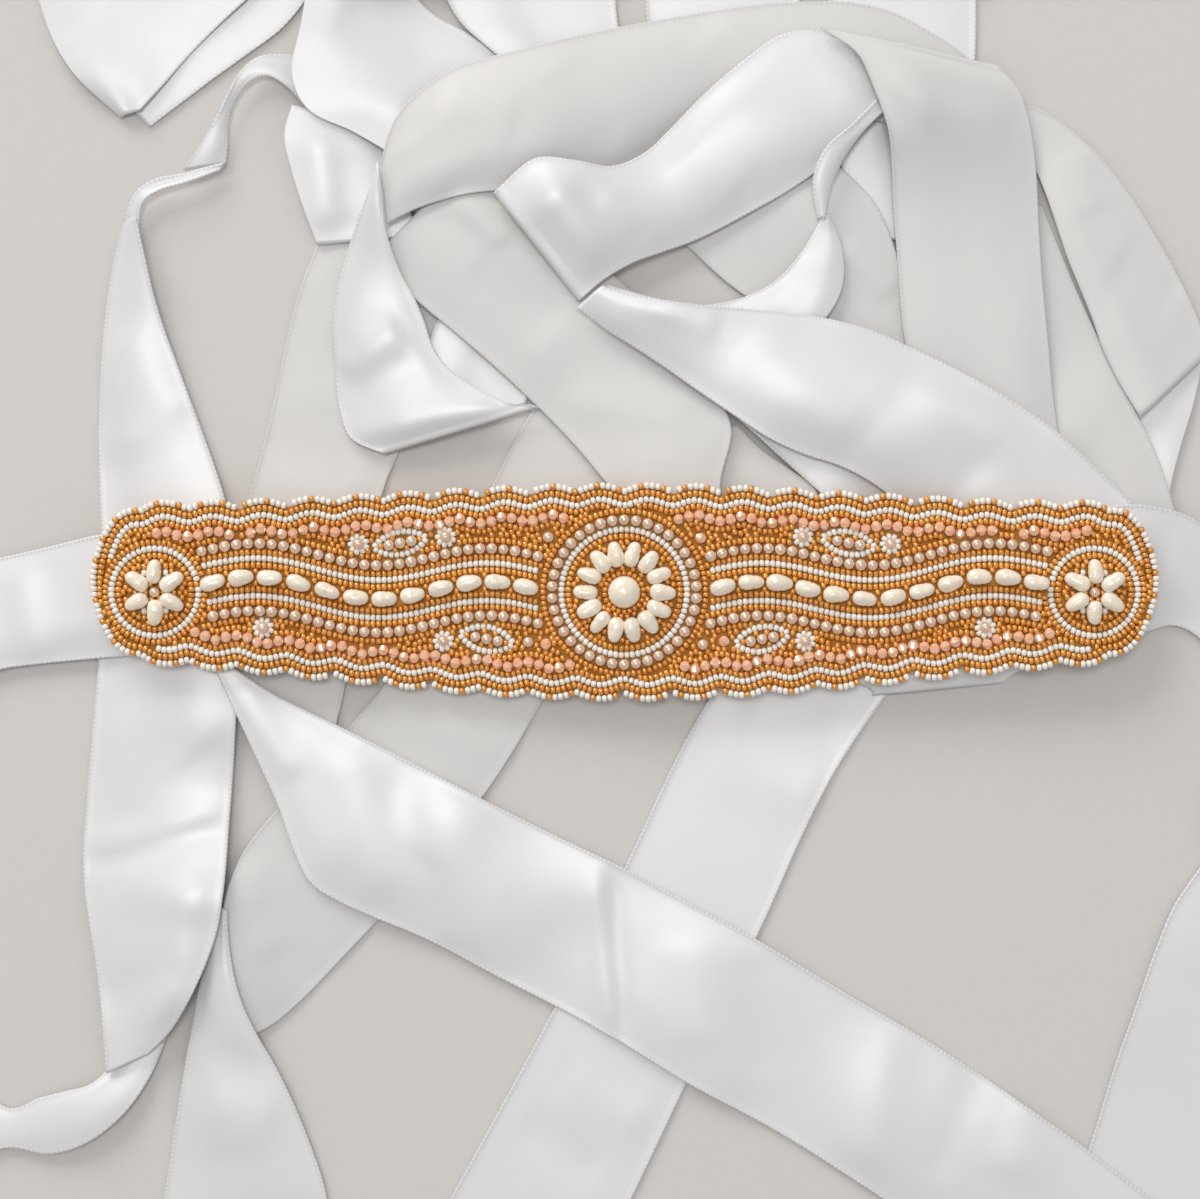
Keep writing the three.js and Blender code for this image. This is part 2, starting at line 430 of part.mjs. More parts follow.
    rows: [
      { x: 67.8, y: 97.9, turn: 26.6, wide: 0.06, first: 1, crown: 0.2, last: 0.3 },
      { x: 67.6, y: 91.9, turn: 1.9, wide: 0.203, first: 1.4, crown: 0.6, last: 0.3 },
      { x: 66, y: 85.8, turn: -4.6, wide: 0.339, first: 1.4, crown: 0.8, last: 0.2 },
      { x: 62.6, y: 78.9, turn: -11.8, wide: 0.463, first: 1.2, crown: 0.8, last: 0 },
      { x: 54.7, y: 72.3, turn: -30.6, wide: 0.518, first: 1, crown: 0.6, last: 0 },
      { x: 42.4, y: 68.5, turn: -46.7, wide: 0.493, first: 0.6, crown: 0.4, last: 0 },
      { x: 28.3, y: 72, turn: -45, wide: 0.383, first: 0.4, crown: 0.2, last: 0 },
      { x: 14.6, y: 77.1, turn: -47.5, wide: 0.22, first: 0, crown: 0, last: 0 },
    ],
  },
  {
    name: "crescent_edge", step: 9,
    rows: [
      { x: 82, y: 126.2, turn: -45, wide: 0.096, first: 0.6, crown: 0.2, last: 0.4 },
      { x: 77.6, y: 121.8, turn: -38.7, wide: 0.087, first: 1.4, crown: 0.3, last: 0.6 },
      { x: 73.1, y: 117.2, turn: -21.8, wide: 0.109, first: 2.6, crown: 0.5, last: 0.8 },
      { x: 69.4, y: 112.7, turn: -24.2, wide: 0.148, first: 3.2, crown: 0.8, last: 1 },
      { x: 67.2, y: 107.7, turn: -15.9, wide: 0.148, first: 3, crown: 0.8, last: 1.2 },
      { x: 66.2, y: 102.4, turn: -18.4, wide: 0.107, first: 2.2, crown: 0.5, last: 1 },
      { x: 66.6, y: 96.9, turn: 14, wide: 0.056, first: 1.4, crown: 0.2, last: 0.6 },
    ],
  },
  {
    name: "right_drop", step: 9, foldStart: 2.2,
    rows: [
      { x: 90.5, y: 139.6, turn: -10.9, wide: 1.212, first: 0, crown: 0.4, last: 0 },
      { x: 94.7, y: 136.5, turn: -11.5, wide: 1.153, first: 0.8, crown: 1.4, last: 0.6 },
      { x: 98.4, y: 129.8, turn: -11.9, wide: 1.12, first: 1, crown: 2, last: 0.8 },
      { x: 102.5, y: 115.7, turn: -7.7, wide: 1.01, first: 1, crown: 2, last: 0.8 },
      { x: 103.6, y: 102.2, turn: -5.9, wide: 0.993, first: 0.8, crown: 1.6, last: 0.6 },
      { x: 104.9, y: 83.5, turn: -4, wide: 0.976, first: 0.6, crown: 1.6, last: 0.4 },
      { x: 106.4, y: 66.8, turn: -4, wide: 0.976, first: 0.2, crown: 1.8, last: 0.2 },
      { x: 108.8, y: 52.7, turn: -8.3, wide: 0.936, first: 0, crown: 1.4, last: 0 },
      { x: 111.8, y: 39.2, turn: -6.6, wide: 0.885, first: 0, crown: 0.4, last: 0 },
    ],
  },
  {
    name: "sweep_under", step: 9,
    rows: [
      { x: 37, y: 68.1, turn: 34.8, wide: 0.593, first: 0, crown: 0.2, last: 0 },
      { x: 45.6, y: 60.3, turn: 36.5, wide: 0.58, first: 0, crown: 0.4, last: 0 },
      { x: 54.4, y: 52.4, turn: 34.8, wide: 0.568, first: 0.2, crown: 0.4, last: 0 },
      { x: 63.9, y: 43.9, turn: 36.7, wide: 0.565, first: 0.3, crown: 0.3, last: 0 },
      { x: 73.2, y: 35.6, turn: 37.7, wide: 0.564, first: 0.2, crown: 0.2, last: 0 },
      { x: 82.9, y: 26.2, turn: 36.4, wide: 0.546, first: 0, crown: 0, last: 0 },
    ],
  },
  {
    name: "right_sweep", step: 9,
    rows: [
      { x: 7.6, y: 77, turn: -140, wide: 0.221, first: 0.4, crown: 0.3, last: 0.3 },
      { x: 16.7, y: 72.6, turn: -130.6, wide: 0.312, first: 0.6, crown: 0.6, last: 0.3 },
      { x: 28.3, y: 68.4, turn: -127.6, wide: 0.444, first: 0.8, crown: 1, last: 0.4 },
      { x: 45.6, y: 61.9, turn: -116.1, wide: 0.693, first: 0.8, crown: 1.8, last: 0.6 },
      { x: 61.7, y: 55.6, turn: -107.5, wide: 0.901, first: 0.8, crown: 2.6, last: 0.8 },
      { x: 75.2, y: 51.5, turn: -104.7, wide: 0.93, first: 1, crown: 3, last: 0.8 },
      { x: 87.4, y: 45.6, turn: -106.5, wide: 0.952, first: 1, crown: 3, last: 0.6 },
      { x: 98.3, y: 38.5, turn: -111.4, wide: 1.017, first: 0.8, crown: 2.6, last: 0.3 },
      { x: 113.1, y: 29.4, turn: -122.6, wide: 1.004, first: 0.6, crown: 1.8, last: 0 },
      { x: 126.3, y: 17.3, turn: -128, wide: 1.021, first: 0.3, crown: 0.8, last: 0 },
      { x: 134.3, y: 9.4, turn: -129.1, wide: 1.019, first: 0, crown: 0.2, last: 0 },
    ],
  },
  {
    name: "lower_tongue", step: 5, foldEnd: 1.6,
    rows: [
      { x: 98.9, y: 1.3, turn: 2.9, wide: 1.354, first: 0, crown: 0.2, last: 0 },
      { x: 97.4, y: -7.2, turn: 4, wide: 1.559, first: 0, crown: 0.5, last: 0 },
      { x: 97.9, y: -13.1, turn: 4.6, wide: 1.533, first: 0.2, crown: 0.6, last: 0.2 },
      { x: 97.9, y: -18, turn: 4.7, wide: 1.317, first: 0.4, crown: 0.6, last: 0.4 },
      { x: 97.4, y: -21.3, turn: 5.1, wide: 0.91, first: 0.6, crown: 0.5, last: 0.5 },
    ],
  },
  {
    name: "front_cross", step: 9,
    rows: [
      { x: -88.5, y: -14.8, turn: -108.4, wide: 0.064, first: 0, crown: 0, last: 0.4 },
      { x: -78, y: -27.2, turn: -130.2, wide: 0.283, first: 0.4, crown: 0.6, last: 1.2 },
      { x: -63.7, y: -43.6, turn: -122.2, wide: 0.711, first: 0.5, crown: 1.2, last: 1.8 },
      { x: -52.7, y: -56.2, turn: -120.4, wide: 1.043, first: 0.6, crown: 1.8, last: 1.6 },
      { x: -24.4, y: -70.3, turn: -117.8, wide: 1.016, first: 0.3, crown: 2.2, last: 0.4 },
      { x: -9, y: -78.3, turn: -117.4, wide: 1.028, first: 0, crown: 2.4, last: 0.2 },
      { x: 7.8, y: -86.6, turn: -116.6, wide: 1.043, first: 0, crown: 0.5, last: 0 },
      { x: 24.7, y: -95.7, turn: -116.1, wide: 1.047, first: 0, crown: 1.4, last: 0 },
      { x: 41.6, y: -105.4, turn: -115.3, wide: 1.077, first: 0.2, crown: 1.4, last: 0.2 },
      { x: 64.9, y: -118.9, turn: -119.1, wide: 1.044, first: 0.4, crown: 0.8, last: 0.5 },
      { x: 86.5, y: -132, turn: -119.3, wide: 1.063, first: 0.2, crown: 2, last: 0.4 },
      { x: 113.1, y: -149.7, turn: -120.7, wide: 1.061, first: 0, crown: 1.4, last: 0.2 },
      { x: 137.1, y: -166.9, turn: -126.9, wide: 1.024, first: 0, crown: 0.4, last: 0 },
      { x: 158.7, y: -185.3, turn: -128.8, wide: 1.025, first: 0, crown: 0, last: 0 },
    ],
  },
  {
    name: "sash_band", step: 9,
    rows: [
      { x: -195.6, y: -5.9, turn: -89.1, wide: 0.906, first: 0, crown: 0, last: 0 },
      { x: -174.8, y: -8.7, turn: -90, wide: 0.92, first: 0, crown: 0.3, last: 0 },
      { x: -158.1, y: -7.2, turn: -90, wide: 0.839, first: 0, crown: 0.5, last: 0 },
      { x: -143.9, y: -3.6, turn: -90, wide: 0.757, first: 0, crown: 0.8, last: 0.4 },
      { x: -129.8, y: -1.2, turn: -85, wide: 0.781, first: 0, crown: 0.6, last: 0.6 },
      { x: -113.1, y: 1.3, turn: -80.7, wide: 0.836, first: 0, crown: 0.2, last: 0.2 },
      { x: -93.8, y: 2.6, turn: -85.4, wide: 0.841, first: 0, crown: 0, last: 0 },
      { x: -66.3, y: 1, turn: -88.2, wide: 0.866, first: 0, crown: 0, last: 0 },
      { x: -36.2, y: -2.6, turn: -90.9, wide: 0.893, first: 0, crown: 0, last: 0 },
      { x: -5.4, y: -4.4, turn: -90.9, wide: 0.906, first: 0, crown: 0, last: 0 },
      { x: 20.8, y: -4.6, turn: -89.2, wide: 0.92, first: 0, crown: 0, last: 0 },
      { x: 51.9, y: -3.6, turn: -88.3, wide: 0.92, first: 0, crown: 0, last: 0 },
      { x: 83, y: -1, turn: -87.5, wide: 0.921, first: 0, crown: 0, last: 0 },
      { x: 111.5, y: 2.3, turn: -86.6, wide: 0.908, first: 0, crown: 0, last: 0 },
      { x: 135.2, y: 5.4, turn: -85, wide: 0.937, first: 0, crown: 0, last: 0 },
      { x: 147.8, y: 7.8, turn: -85.6, wide: 0.875, first: 0, crown: 0.3, last: 0 },
      { x: 157, y: 8, turn: -91, wide: 0.771, first: 0, crown: 0.8, last: 0.4 },
      { x: 164.5, y: 4.6, turn: -90, wide: 0.757, first: 0, crown: 0.8, last: 0.8 },
      { x: 176, y: -7.7, turn: -102.1, wide: 0.968, first: 0, crown: 0.5, last: 0 },
      { x: 194.7, y: -17.3, turn: -112.2, wide: 0.986, first: 0, crown: 0, last: 0 },
    ],
  },
  {
    name: "right_turn", step: 9,
    rows: [
      { x: 194.9, y: -17.7, turn: -110.5, wide: 1.025, first: 0, crown: 0, last: 0 },
      { x: 188.3, y: -23.1, turn: -152.4, wide: 0.877, first: 0, crown: 0.3, last: 0 },
      { x: 186.3, y: -36.6, turn: -178, wide: 0.947, first: 0, crown: 0.4, last: 0 },
      { x: 184.7, y: -57.2, turn: -185.8, wide: 0.999, first: 0, crown: 0.3, last: 0 },
      { x: 183.1, y: -75.2, turn: -214.2, wide: 1.022, first: 0, crown: 0, last: 0 },
    ],
  },
];

// Height of everything laid so far, on a square grid of points
const MAP_SIDE = Math.round((2 * MAP_HALF) / MAP_CELL) + 1;
const laidHeight = new Float64Array(MAP_SIDE * MAP_SIDE);

function mapIndex(value) {
  return Math.round((value + MAP_HALF) / MAP_CELL);
}

function heightAt(x, y) {
  return laidHeight[mapIndex(y) * MAP_SIDE + mapIndex(x)];
}

function raiseMap(x, y, z) {
  const column = mapIndex(x);
  const row = mapIndex(y);
  for (let r = row - 1; r <= row + 1; r++) {
    for (let c = column - 1; c <= column + 1; c++) {
      const k = r * MAP_SIDE + c;
      laidHeight[k] = Math.max(laidHeight[k], z);
    }
  }
}

// Smooth curve through the rows of a table, by the distance between rows
function curveThrough(values, position) {
  const last = values.length - 1;
  const k = Math.min(Math.floor(position), last - 1);
  const t = position - k;
  const p0 = values[Math.max(k - 1, 0)];
  const p1 = values[k];
  const p2 = values[k + 1];
  const p3 = values[Math.min(k + 2, last)];
  const m1 = (p2 - p0) / 2;
  const m2 = (p3 - p1) / 2;
  const t2 = t * t;
  const t3 = t2 * t;
  return (2 * t3 - 3 * t2 + 1) * p1 + (t3 - 2 * t2 + t) * m1 + (3 * t2 - 2 * t3) * p2 + (t3 - t2) * m2;
}

// Sections spread evenly along a stretch, with their selvedges in plan
function sectionsOf(stretch) {
  const rows = stretch.rows.map((row) => {
    const half = (row.wide * RIBBON_WIDTH) / 2;
    const angle = (row.turn * Math.PI) / 180;
    return {
      ax: row.x - half * Math.cos(angle),
      ay: row.y - half * Math.sin(angle),
      bx: row.x + half * Math.cos(angle),
      by: row.y + half * Math.sin(angle),
      first: row.first,
      crown: row.crown,
      last: row.last,
      x: row.x,
      y: row.y,
    };
  });
  const along = [0];
  for (let k = 1; k < rows.length; k++) {
    const distance = Math.hypot(rows[k].x - rows[k - 1].x, rows[k].y - rows[k - 1].y);
    along.push(along[k - 1] + distance);
  }
  const length = along[along.length - 1];
  const count = Math.max(4, Math.round(length / stretch.step));
  const sections = [];
  for (let i = 0; i <= count; i++) {
    const here = (length * i) / count;
    let k = 0;
    while (k < rows.length - 2 && along[k + 1] < here) k++;
    const position = k + (here - along[k]) / (along[k + 1] - along[k]);
    const section = {};
    for (const key of ["ax", "ay", "bx", "by", "first", "crown", "last"]) {
      section[key] = curveThrough(rows.map((row) => row[key]), position);
    }
    sections.push(section);
  }
  return sections;
}

// A fold adds sections past an end, each lower than the one before, on a quarter circle
function addFold(sections, atEnd, radius) {
  if (!radius) return;
  const edge = atEnd ? sections[sections.length - 1] : sections[0];
  const inner = atEnd ? sections[sections.length - 2] : sections[1];
  const ahead = new THREE.Vector2(
    (edge.ax + edge.bx - inner.ax - inner.bx) / 2,
    (edge.ay + edge.by - inner.ay - inner.by) / 2,
  ).normalize();
  for (let s = 1; s <= FOLD_STEPS; s++) {
    const angle = (s / FOLD_STEPS) * 1.35;
    const out = radius * Math.sin(angle);
    const down = radius * (1 - Math.cos(angle));
    const folded = {
      ...edge,
      ax: edge.ax + ahead.x * out,
      ay: edge.ay + ahead.y * out,
      bx: edge.bx + ahead.x * out,
      by: edge.by + ahead.y * out,
      drop: down,
    };
    if (atEnd) sections.push(folded);
    else sections.unshift(folded);
  }
}

// Unit normals of a grid of points
function gridNormals(points, along, across) {
  const normals = [];
  const at = (i, j) => points[i * (across + 1) + j];
  for (let i = 0; i <= along; i++) {
    for (let j = 0; j <= across; j++) {
      const u = at(Math.min(i + 1, along), j).clone().sub(at(Math.max(i - 1, 0), j));
      const v = at(i, Math.min(j + 1, across)).clone().sub(at(i, Math.max(j - 1, 0)));
      const n = u.cross(v).normalize();
      if (n.z < 0) n.negate();
      normals.push(n);
    }
  }
  return normals;
}

// Visits evenly spread points of a triangle, with their weights
function eachSample(a, b, c, visit) {
  const longest = Math.max(a.distanceTo(b), b.distanceTo(c), c.distanceTo(a));
  const steps = Math.max(1, Math.ceil(longest / SAMPLE_STEP));
  for (let p = 0; p <= steps; p++) {
    for (let q = 0; q <= steps - p; q++) {
      const wa = p / steps;
      const wb = q / steps;
      const wc = 1 - wa - wb;
      visit(a.x * wa + b.x * wb + c.x * wc, a.y * wa + b.y * wb + c.y * wc, a.z * wa + b.z * wb + c.z * wc);
    }
  }
}

// Lowers a grid of points on to what is already laid, and returns its two faces
function settle(points, along, across) {
  const width = across + 1;
  const faces = [];
  for (let i = 0; i < along; i++) {
    for (let j = 0; j < across; j++) {
      const k = i * width + j;
      faces.push([k, k + 1, k + width], [k + 1, k + width + 1, k + width]);
    }
  }
  const shape = points.map((p) => p.z);
  const lift = points.map(() => 0);
  const place = () => {
    points.forEach((p, k) => {
      p.z = shape[k] + lift[k] + CLOTH / 2;
    });
    const normals = gridNormals(points, along, across);
    const upper = points.map((p, k) => p.clone().addScaledVector(normals[k], CLOTH / 2));
    const under = points.map((p, k) => p.clone().addScaledVector(normals[k], -CLOTH / 2));
    return { upper, under };
  };
  let made = place();
  const clear = () => {
    for (let round = 0; round < 14; round++) {
      const need = points.map(() => 0);
      let worst = 0;
      for (const [a, b, c] of faces) {
        let miss = 0;
        eachSample(made.under[a], made.under[b], made.under[c], (x, y, z) => {
          const below = heightAt(x, y);
          const wanted = below > 0 ? below + LAYER_GAP : 0;
          miss = Math.max(miss, wanted - z);
        });
        for (const k of [a, b, c]) need[k] = Math.max(need[k], miss);
        worst = Math.max(worst, miss);
      }
      if (worst < 0.005) break;
      need.forEach((value, k) => {
        lift[k] += value;
      });
      made = place();
    }
  };
  clear();
  // Cloth doesn't follow every step below it: each dip is bridged part of the way
  for (let round = 0; round < 6; round++) {
    const before = lift.slice();
    for (let i = 0; i <= along; i++) {
      for (let j = 0; j <= across; j++) {
        const k = i * width + j;
        const ends = i > 0 && i < along ? (before[k - width] + before[k + width]) / 2 : before[k];
        const sides = j > 0 && j < across ? (before[k - 1] + before[k + 1]) / 2 : before[k];
        lift[k] = Math.max(before[k], (ends + sides) / 2 - 0.05);
      }
    }
  }
  made = place();
  clear();
  for (const [a, b, c] of faces) {
    eachSample(made.upper[a], made.upper[b], made.upper[c], raiseMap);
  }
  return made;
}

// Closes two faces of a grid into one body
function closedWall(upper, under, along, across) {
  const width = across + 1;
  const count = width * (along + 1);
  const positions = [];
  for (const p of [...upper, ...under]) positions.push(p.x, p.y, p.z);
  const index = [];
  const quad = (a, b, c, d) => index.push(a, b, c, a, c, d);
  for (let i = 0; i < along; i++) {
    for (let j = 0; j < across; j++) {
      const k = i * width + j;
      quad(k, k + width, k + width + 1, k + 1);
      quad(count + k, count + k + 1, count + k + width + 1, count + k + width);
    }
  }
  for (let i = 0; i < along; i++) {
    const a = i * width;
    const b = a + across;
    quad(a, count + a, count + a + width, a + width);
    quad(b, b + width, count + b + width, count + b);
  }
  for (let j = 0; j < across; j++) {
    const b = along * width + j;
    quad(j, j + 1, count + j + 1, count + j);
    quad(b, count + b, count + b + 1, b + 1);
  }
  const geometry = new THREE.BufferGeometry();
  geometry.setAttribute("position", new THREE.Float32BufferAttribute(positions, 3));
  geometry.setIndex(index);
  return facingOut(geometry);
}

// Turns a closed body round where its faces point inwards
function facingOut(geometry) {
  const p = geometry.getAttribute("position");
  const index = geometry.getIndex().array;
  const a = new THREE.Vector3();
  const b = new THREE.Vector3();
  const c = new THREE.Vector3();
  let volume = 0;
  for (let k = 0; k < index.length; k += 3) {
    a.fromBufferAttribute(p, index[k]);
    b.fromBufferAttribute(p, index[k + 1]);
    c.fromBufferAttribute(p, index[k + 2]);
    volume += a.dot(b.cross(c));
  }
  if (volume < 0) {
    for (let k = 0; k < index.length; k += 3) {
      [index[k + 1], index[k + 2]] = [index[k + 2], index[k + 1]];
    }
  }
  geometry.computeVertexNormals();
  return geometry;
}

function ribbonStretch(stretch) {
  const sections = sectionsOf(stretch);
  addFold(sections, false, stretch.foldStart);
  addFold(sections, true, stretch.foldEnd);
  const along = sections.length - 1;
  const across = FACETS_ACROSS;
  const points = [];
  for (const s of sections) {
    for (let j = 0; j <= across; j++) {
      const v = j / across;
      const rise = s.first * (1 - v) + s.last * v + s.crown * 4 * v * (1 - v);
      points.push(
        new THREE.Vector3(s.ax + (s.bx - s.ax) * v, s.ay + (s.by - s.ay) * v, rise - (s.drop || 0)),
      );
    }
  }
  const { upper, under } = settle(points, along, across);
  return closedWall(upper, under, along, across);
}

// Outline of the panel in its own frame: half height at a place along it, with scallops
function panelHalf(t, scalloped) {
  const swell = (PANEL_MIDDLE_HALF - PANEL_SIDE_HALF) * Math.cos((t * Math.PI) / 2) ** 2;
  const past = Math.max(0, (Math.abs(t) - 1 + PANEL_ROUND_SHARE) / PANEL_ROUND_SHARE);
  const round = Math.sqrt(Math.max(0, 1 - past * past));
  const wave = scalloped ? SCALLOP_DEPTH * Math.abs(Math.sin(Math.abs(t) * Math.PI * SCALLOPS_EACH_SIDE)) : 0;
  return (PANEL_SIDE_HALF + swell) * round + wave * Math.min(1, round * 1.5) - SCALLOP_DEPTH / 2;
}

function panelMiddle(t) {
  return PANEL_BOW * t * t;
}
// Large beads of the panel, in its own frame: petals round the middle pearl, a stem of long pearls
// to each side, and a small flower at each tip
function largeBeads() {
  const beads = [{ x: 0, y: 0, angle: 0, length: CENTRE_PEARL, width: CENTRE_PEARL, height: PETAL_HEIGHT + 0.6 }];
  for (let k = 0; k < PETAL_COUNT; k++) {
    const angle = (k * 2 * Math.PI) / PETAL_COUNT;
    const x = PETAL_RING * Math.cos(angle);
    const y = PETAL_RING * Math.sin(angle);
    beads.push({ x, y, angle, length: PETAL_LENGTH, width: PETAL_WIDTH, height: PETAL_HEIGHT });
  }
  for (const side of [-1, 1]) {
    for (let k = 0; k < STEM_COUNT; k++) {
      const x = side * (STEM_START + k * STEM_PITCH);
      const angle = Math.atan2(stemMiddle(x + 1) - stemMiddle(x - 1), 2);
      beads.push({ x, y: stemMiddle(x), angle, length: PETAL_LENGTH, width: PETAL_WIDTH, height: PETAL_HEIGHT });
    }
    for (let k = 0; k < TIP_PETALS; k++) {
      const angle = (k * 2 * Math.PI) / TIP_PETALS + Math.PI / 2;
      const x = side * TIP_X + 5.2 * Math.cos(angle) * side;
      const y = stemMiddle(side * TIP_X) + 5.2 * Math.sin(angle);
      beads.push({ x, y, angle: side > 0 ? angle : Math.PI - angle, length: 5.6, width: 4.2, height: PETAL_HEIGHT });
    }
  }
  return beads;
}

// The stem follows the middle of the panel in shallow waves
function stemMiddle(x) {
  const t = (2 * x) / PANEL_LENGTH;
  return panelMiddle(t) + STEM_WAVE * Math.sin((Math.abs(x) - ROSETTE_RADIUS) / STEM_WAVE_LENGTH);
}

function relief(x, y, beads) {
  let height = SMALL_BEAD_HEIGHT;
  for (const bead of beads) {
    const dx = x - bead.x;
    const dy = y - bead.y;
    const u = (dx * Math.cos(bead.angle) + dy * Math.sin(bead.angle)) / (bead.length / 2);
    const v = (dy * Math.cos(bead.angle) - dx * Math.sin(bead.angle)) / (bead.width / 2);
    const inside = 1 - u * u - v * v;
    if (inside > 0) height = Math.max(height, bead.height * Math.sqrt(inside));
  }
  return height;
}

// The panel is a stiff closed sheet that lies on the band: a plain underside, straight across, and
// a top that stands PANEL_BACKING above it, with the large beads raised in its points
function beadedPanel() {
  const along = PANEL_FACETS_ALONG;
  const across = PANEL_FACETS_ACROSS;
  const rimPoints = [];
  const beads = largeBeads();
  for (let i = 0; i <= along; i++) {
    const t = -1 + (2 * i) / along;
    const x = PANEL_CENTRE_X + (t * PANEL_LENGTH) / 2;
    const half = Math.max(END_HALF, panelHalf(t, true));
    for (const side of [-1, 1]) {
      rimPoints.push(new THREE.Vector3(x, PANEL_CENTRE_Y + panelMiddle(t) + side * half, 0));
    }
  }
  const { under } = settle(rimPoints, along, 1);
  const top = [];
  for (let i = 0; i <= along; i++) {
    const a = under[i * 2];
    const b = under[i * 2 + 1];
    for (let j = 0; j <= across; j++) {
      const p = a.clone().lerp(b, j / across);
      const rim = i === 0 || i === along || j === 0 || j === across ? 0 : 1;
      p.z += PANEL_BACKING + rim * relief(p.x - PANEL_CENTRE_X, p.y - PANEL_CENTRE_Y, beads);
      top.push(p);
    }
  }
  return closedPanel(top, under, along, across);
}

function closedPanel(top, under, along, across) {
  const width = across + 1;
  const count = width * (along + 1);
  const positions = [];
  for (const p of [...top, ...under]) positions.push(p.x, p.y, p.z);
  const index = [];
  const below = (i, side) => count + i * 2 + side;
  for (let i = 0; i < along; i++) {
    for (let j = 0; j < across; j++) {
      const k = i * width + j;
      index.push(k, k + width, k + width + 1, k, k + width + 1, k + 1);
    }
    index.push(below(i, 0), below(i, 1), below(i + 1, 1), below(i, 0), below(i + 1, 1), below(i + 1, 0));
    const a = i * width;
    index.push(a, below(i, 0), below(i + 1, 0), a, below(i + 1, 0), a + width);
    const b = a + across;
    index.push(b, b + width, below(i + 1, 1), b, below(i + 1, 1), below(i, 1));
  }
  const last = along * width;
  for (let j = 0; j < across; j++) {
    index.push(below(0, 0), j, j + 1);
    index.push(below(along, 0), last + j + 1, last + j);
  }
  index.push(below(0, 0), across, below(0, 1));
  index.push(below(along, 0), below(along, 1), last + across);
  const geometry = new THREE.BufferGeometry();
  geometry.setAttribute("position", new THREE.Float32BufferAttribute(positions, 3));
  geometry.setIndex(index);
  return facingOut(geometry);
}

const group = new THREE.Group();
group.name = "bridal_sash";

function addMesh(name, geometry, look) {
  const mesh = new THREE.Mesh(geometry, new THREE.MeshStandardMaterial({ ...look, side: THREE.DoubleSide }));
  mesh.name = name;
  group.add(mesh);
}

for (const stretch of stretches) addMesh(stretch.name, ribbonStretch(stretch), WHITE_SATIN);
addMesh("beaded_panel", beadedPanel(), GOLD_BEADWORK);

export default group;
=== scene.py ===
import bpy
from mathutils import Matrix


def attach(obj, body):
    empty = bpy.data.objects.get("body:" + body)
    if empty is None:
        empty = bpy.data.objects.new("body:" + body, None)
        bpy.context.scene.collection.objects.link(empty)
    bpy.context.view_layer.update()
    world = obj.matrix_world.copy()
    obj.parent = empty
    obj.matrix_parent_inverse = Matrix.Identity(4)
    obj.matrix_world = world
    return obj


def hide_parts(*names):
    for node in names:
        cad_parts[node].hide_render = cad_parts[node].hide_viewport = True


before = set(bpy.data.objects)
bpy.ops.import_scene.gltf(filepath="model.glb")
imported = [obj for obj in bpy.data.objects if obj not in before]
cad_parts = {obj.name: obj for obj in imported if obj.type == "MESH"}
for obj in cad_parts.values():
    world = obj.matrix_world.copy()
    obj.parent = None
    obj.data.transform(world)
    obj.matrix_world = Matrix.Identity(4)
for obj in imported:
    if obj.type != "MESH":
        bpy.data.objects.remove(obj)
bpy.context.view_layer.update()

import itertools
import math
from collections import namedtuple

import bpy
import numpy as np

bl_info = {
    "name": "Bridal Sash",
    "version": (1, 0, 0),
    "blender": (4, 5, 0),
    "location": "3D View > Sidebar > Sash",
    "description": "Builds a white satin ribbon sash with a beaded panel, laid in loose loops",
    "category": "Object",
}

# Sizes in millimetres, counts and the soft fold's angle in radians, as the part's own program has them
RIBBON_WIDTH = 38.0
CLOTH = 1.0
LAYER_GAP = 0.3
FACETS_ACROSS = 4
MAP_HALF = 232.0
MAP_CELL = 1.0
SAMPLE_STEP = 0.7
FOLD_STEPS = 3
FOLD_ANGLE = 1.35
CLEAR_PASSES = 14
CLEAR_ERROR = 0.005
SMOOTH_PASSES = 6
SMOOTH_DROP = 0.05
PANEL_LENGTH = 270.0
PANEL_MIDDLE_HALF = 26.5
PANEL_SIDE_HALF = 19.5
PANEL_ROUND_SHARE = 0.12
END_HALF = 3.0
PANEL_BOW = 3.0
PANEL_CENTRE_X = 16.4
PANEL_CENTRE_Y = 2.0
PANEL_BACKING = 1.6
PANEL_FACETS_ALONG = 150
SCALLOP_DEPTH = 1.6
SCALLOPS_EACH_SIDE = 11
ROSETTE_RADIUS = 20.0
CENTRE_PEARL = 8.0
PETAL_COUNT = 14
PETAL_RING = 9.8
PETAL_LENGTH = 6.6
PETAL_WIDTH = 4.2
STEM_COUNT = 12
STEM_START = 25.0
STEM_PITCH = 7.2
STEM_WAVE = 2.4
STEM_WAVE_LENGTH = 9.2
TIP_X = 119.0
TIP_PETALS = 6
MM = 0.001

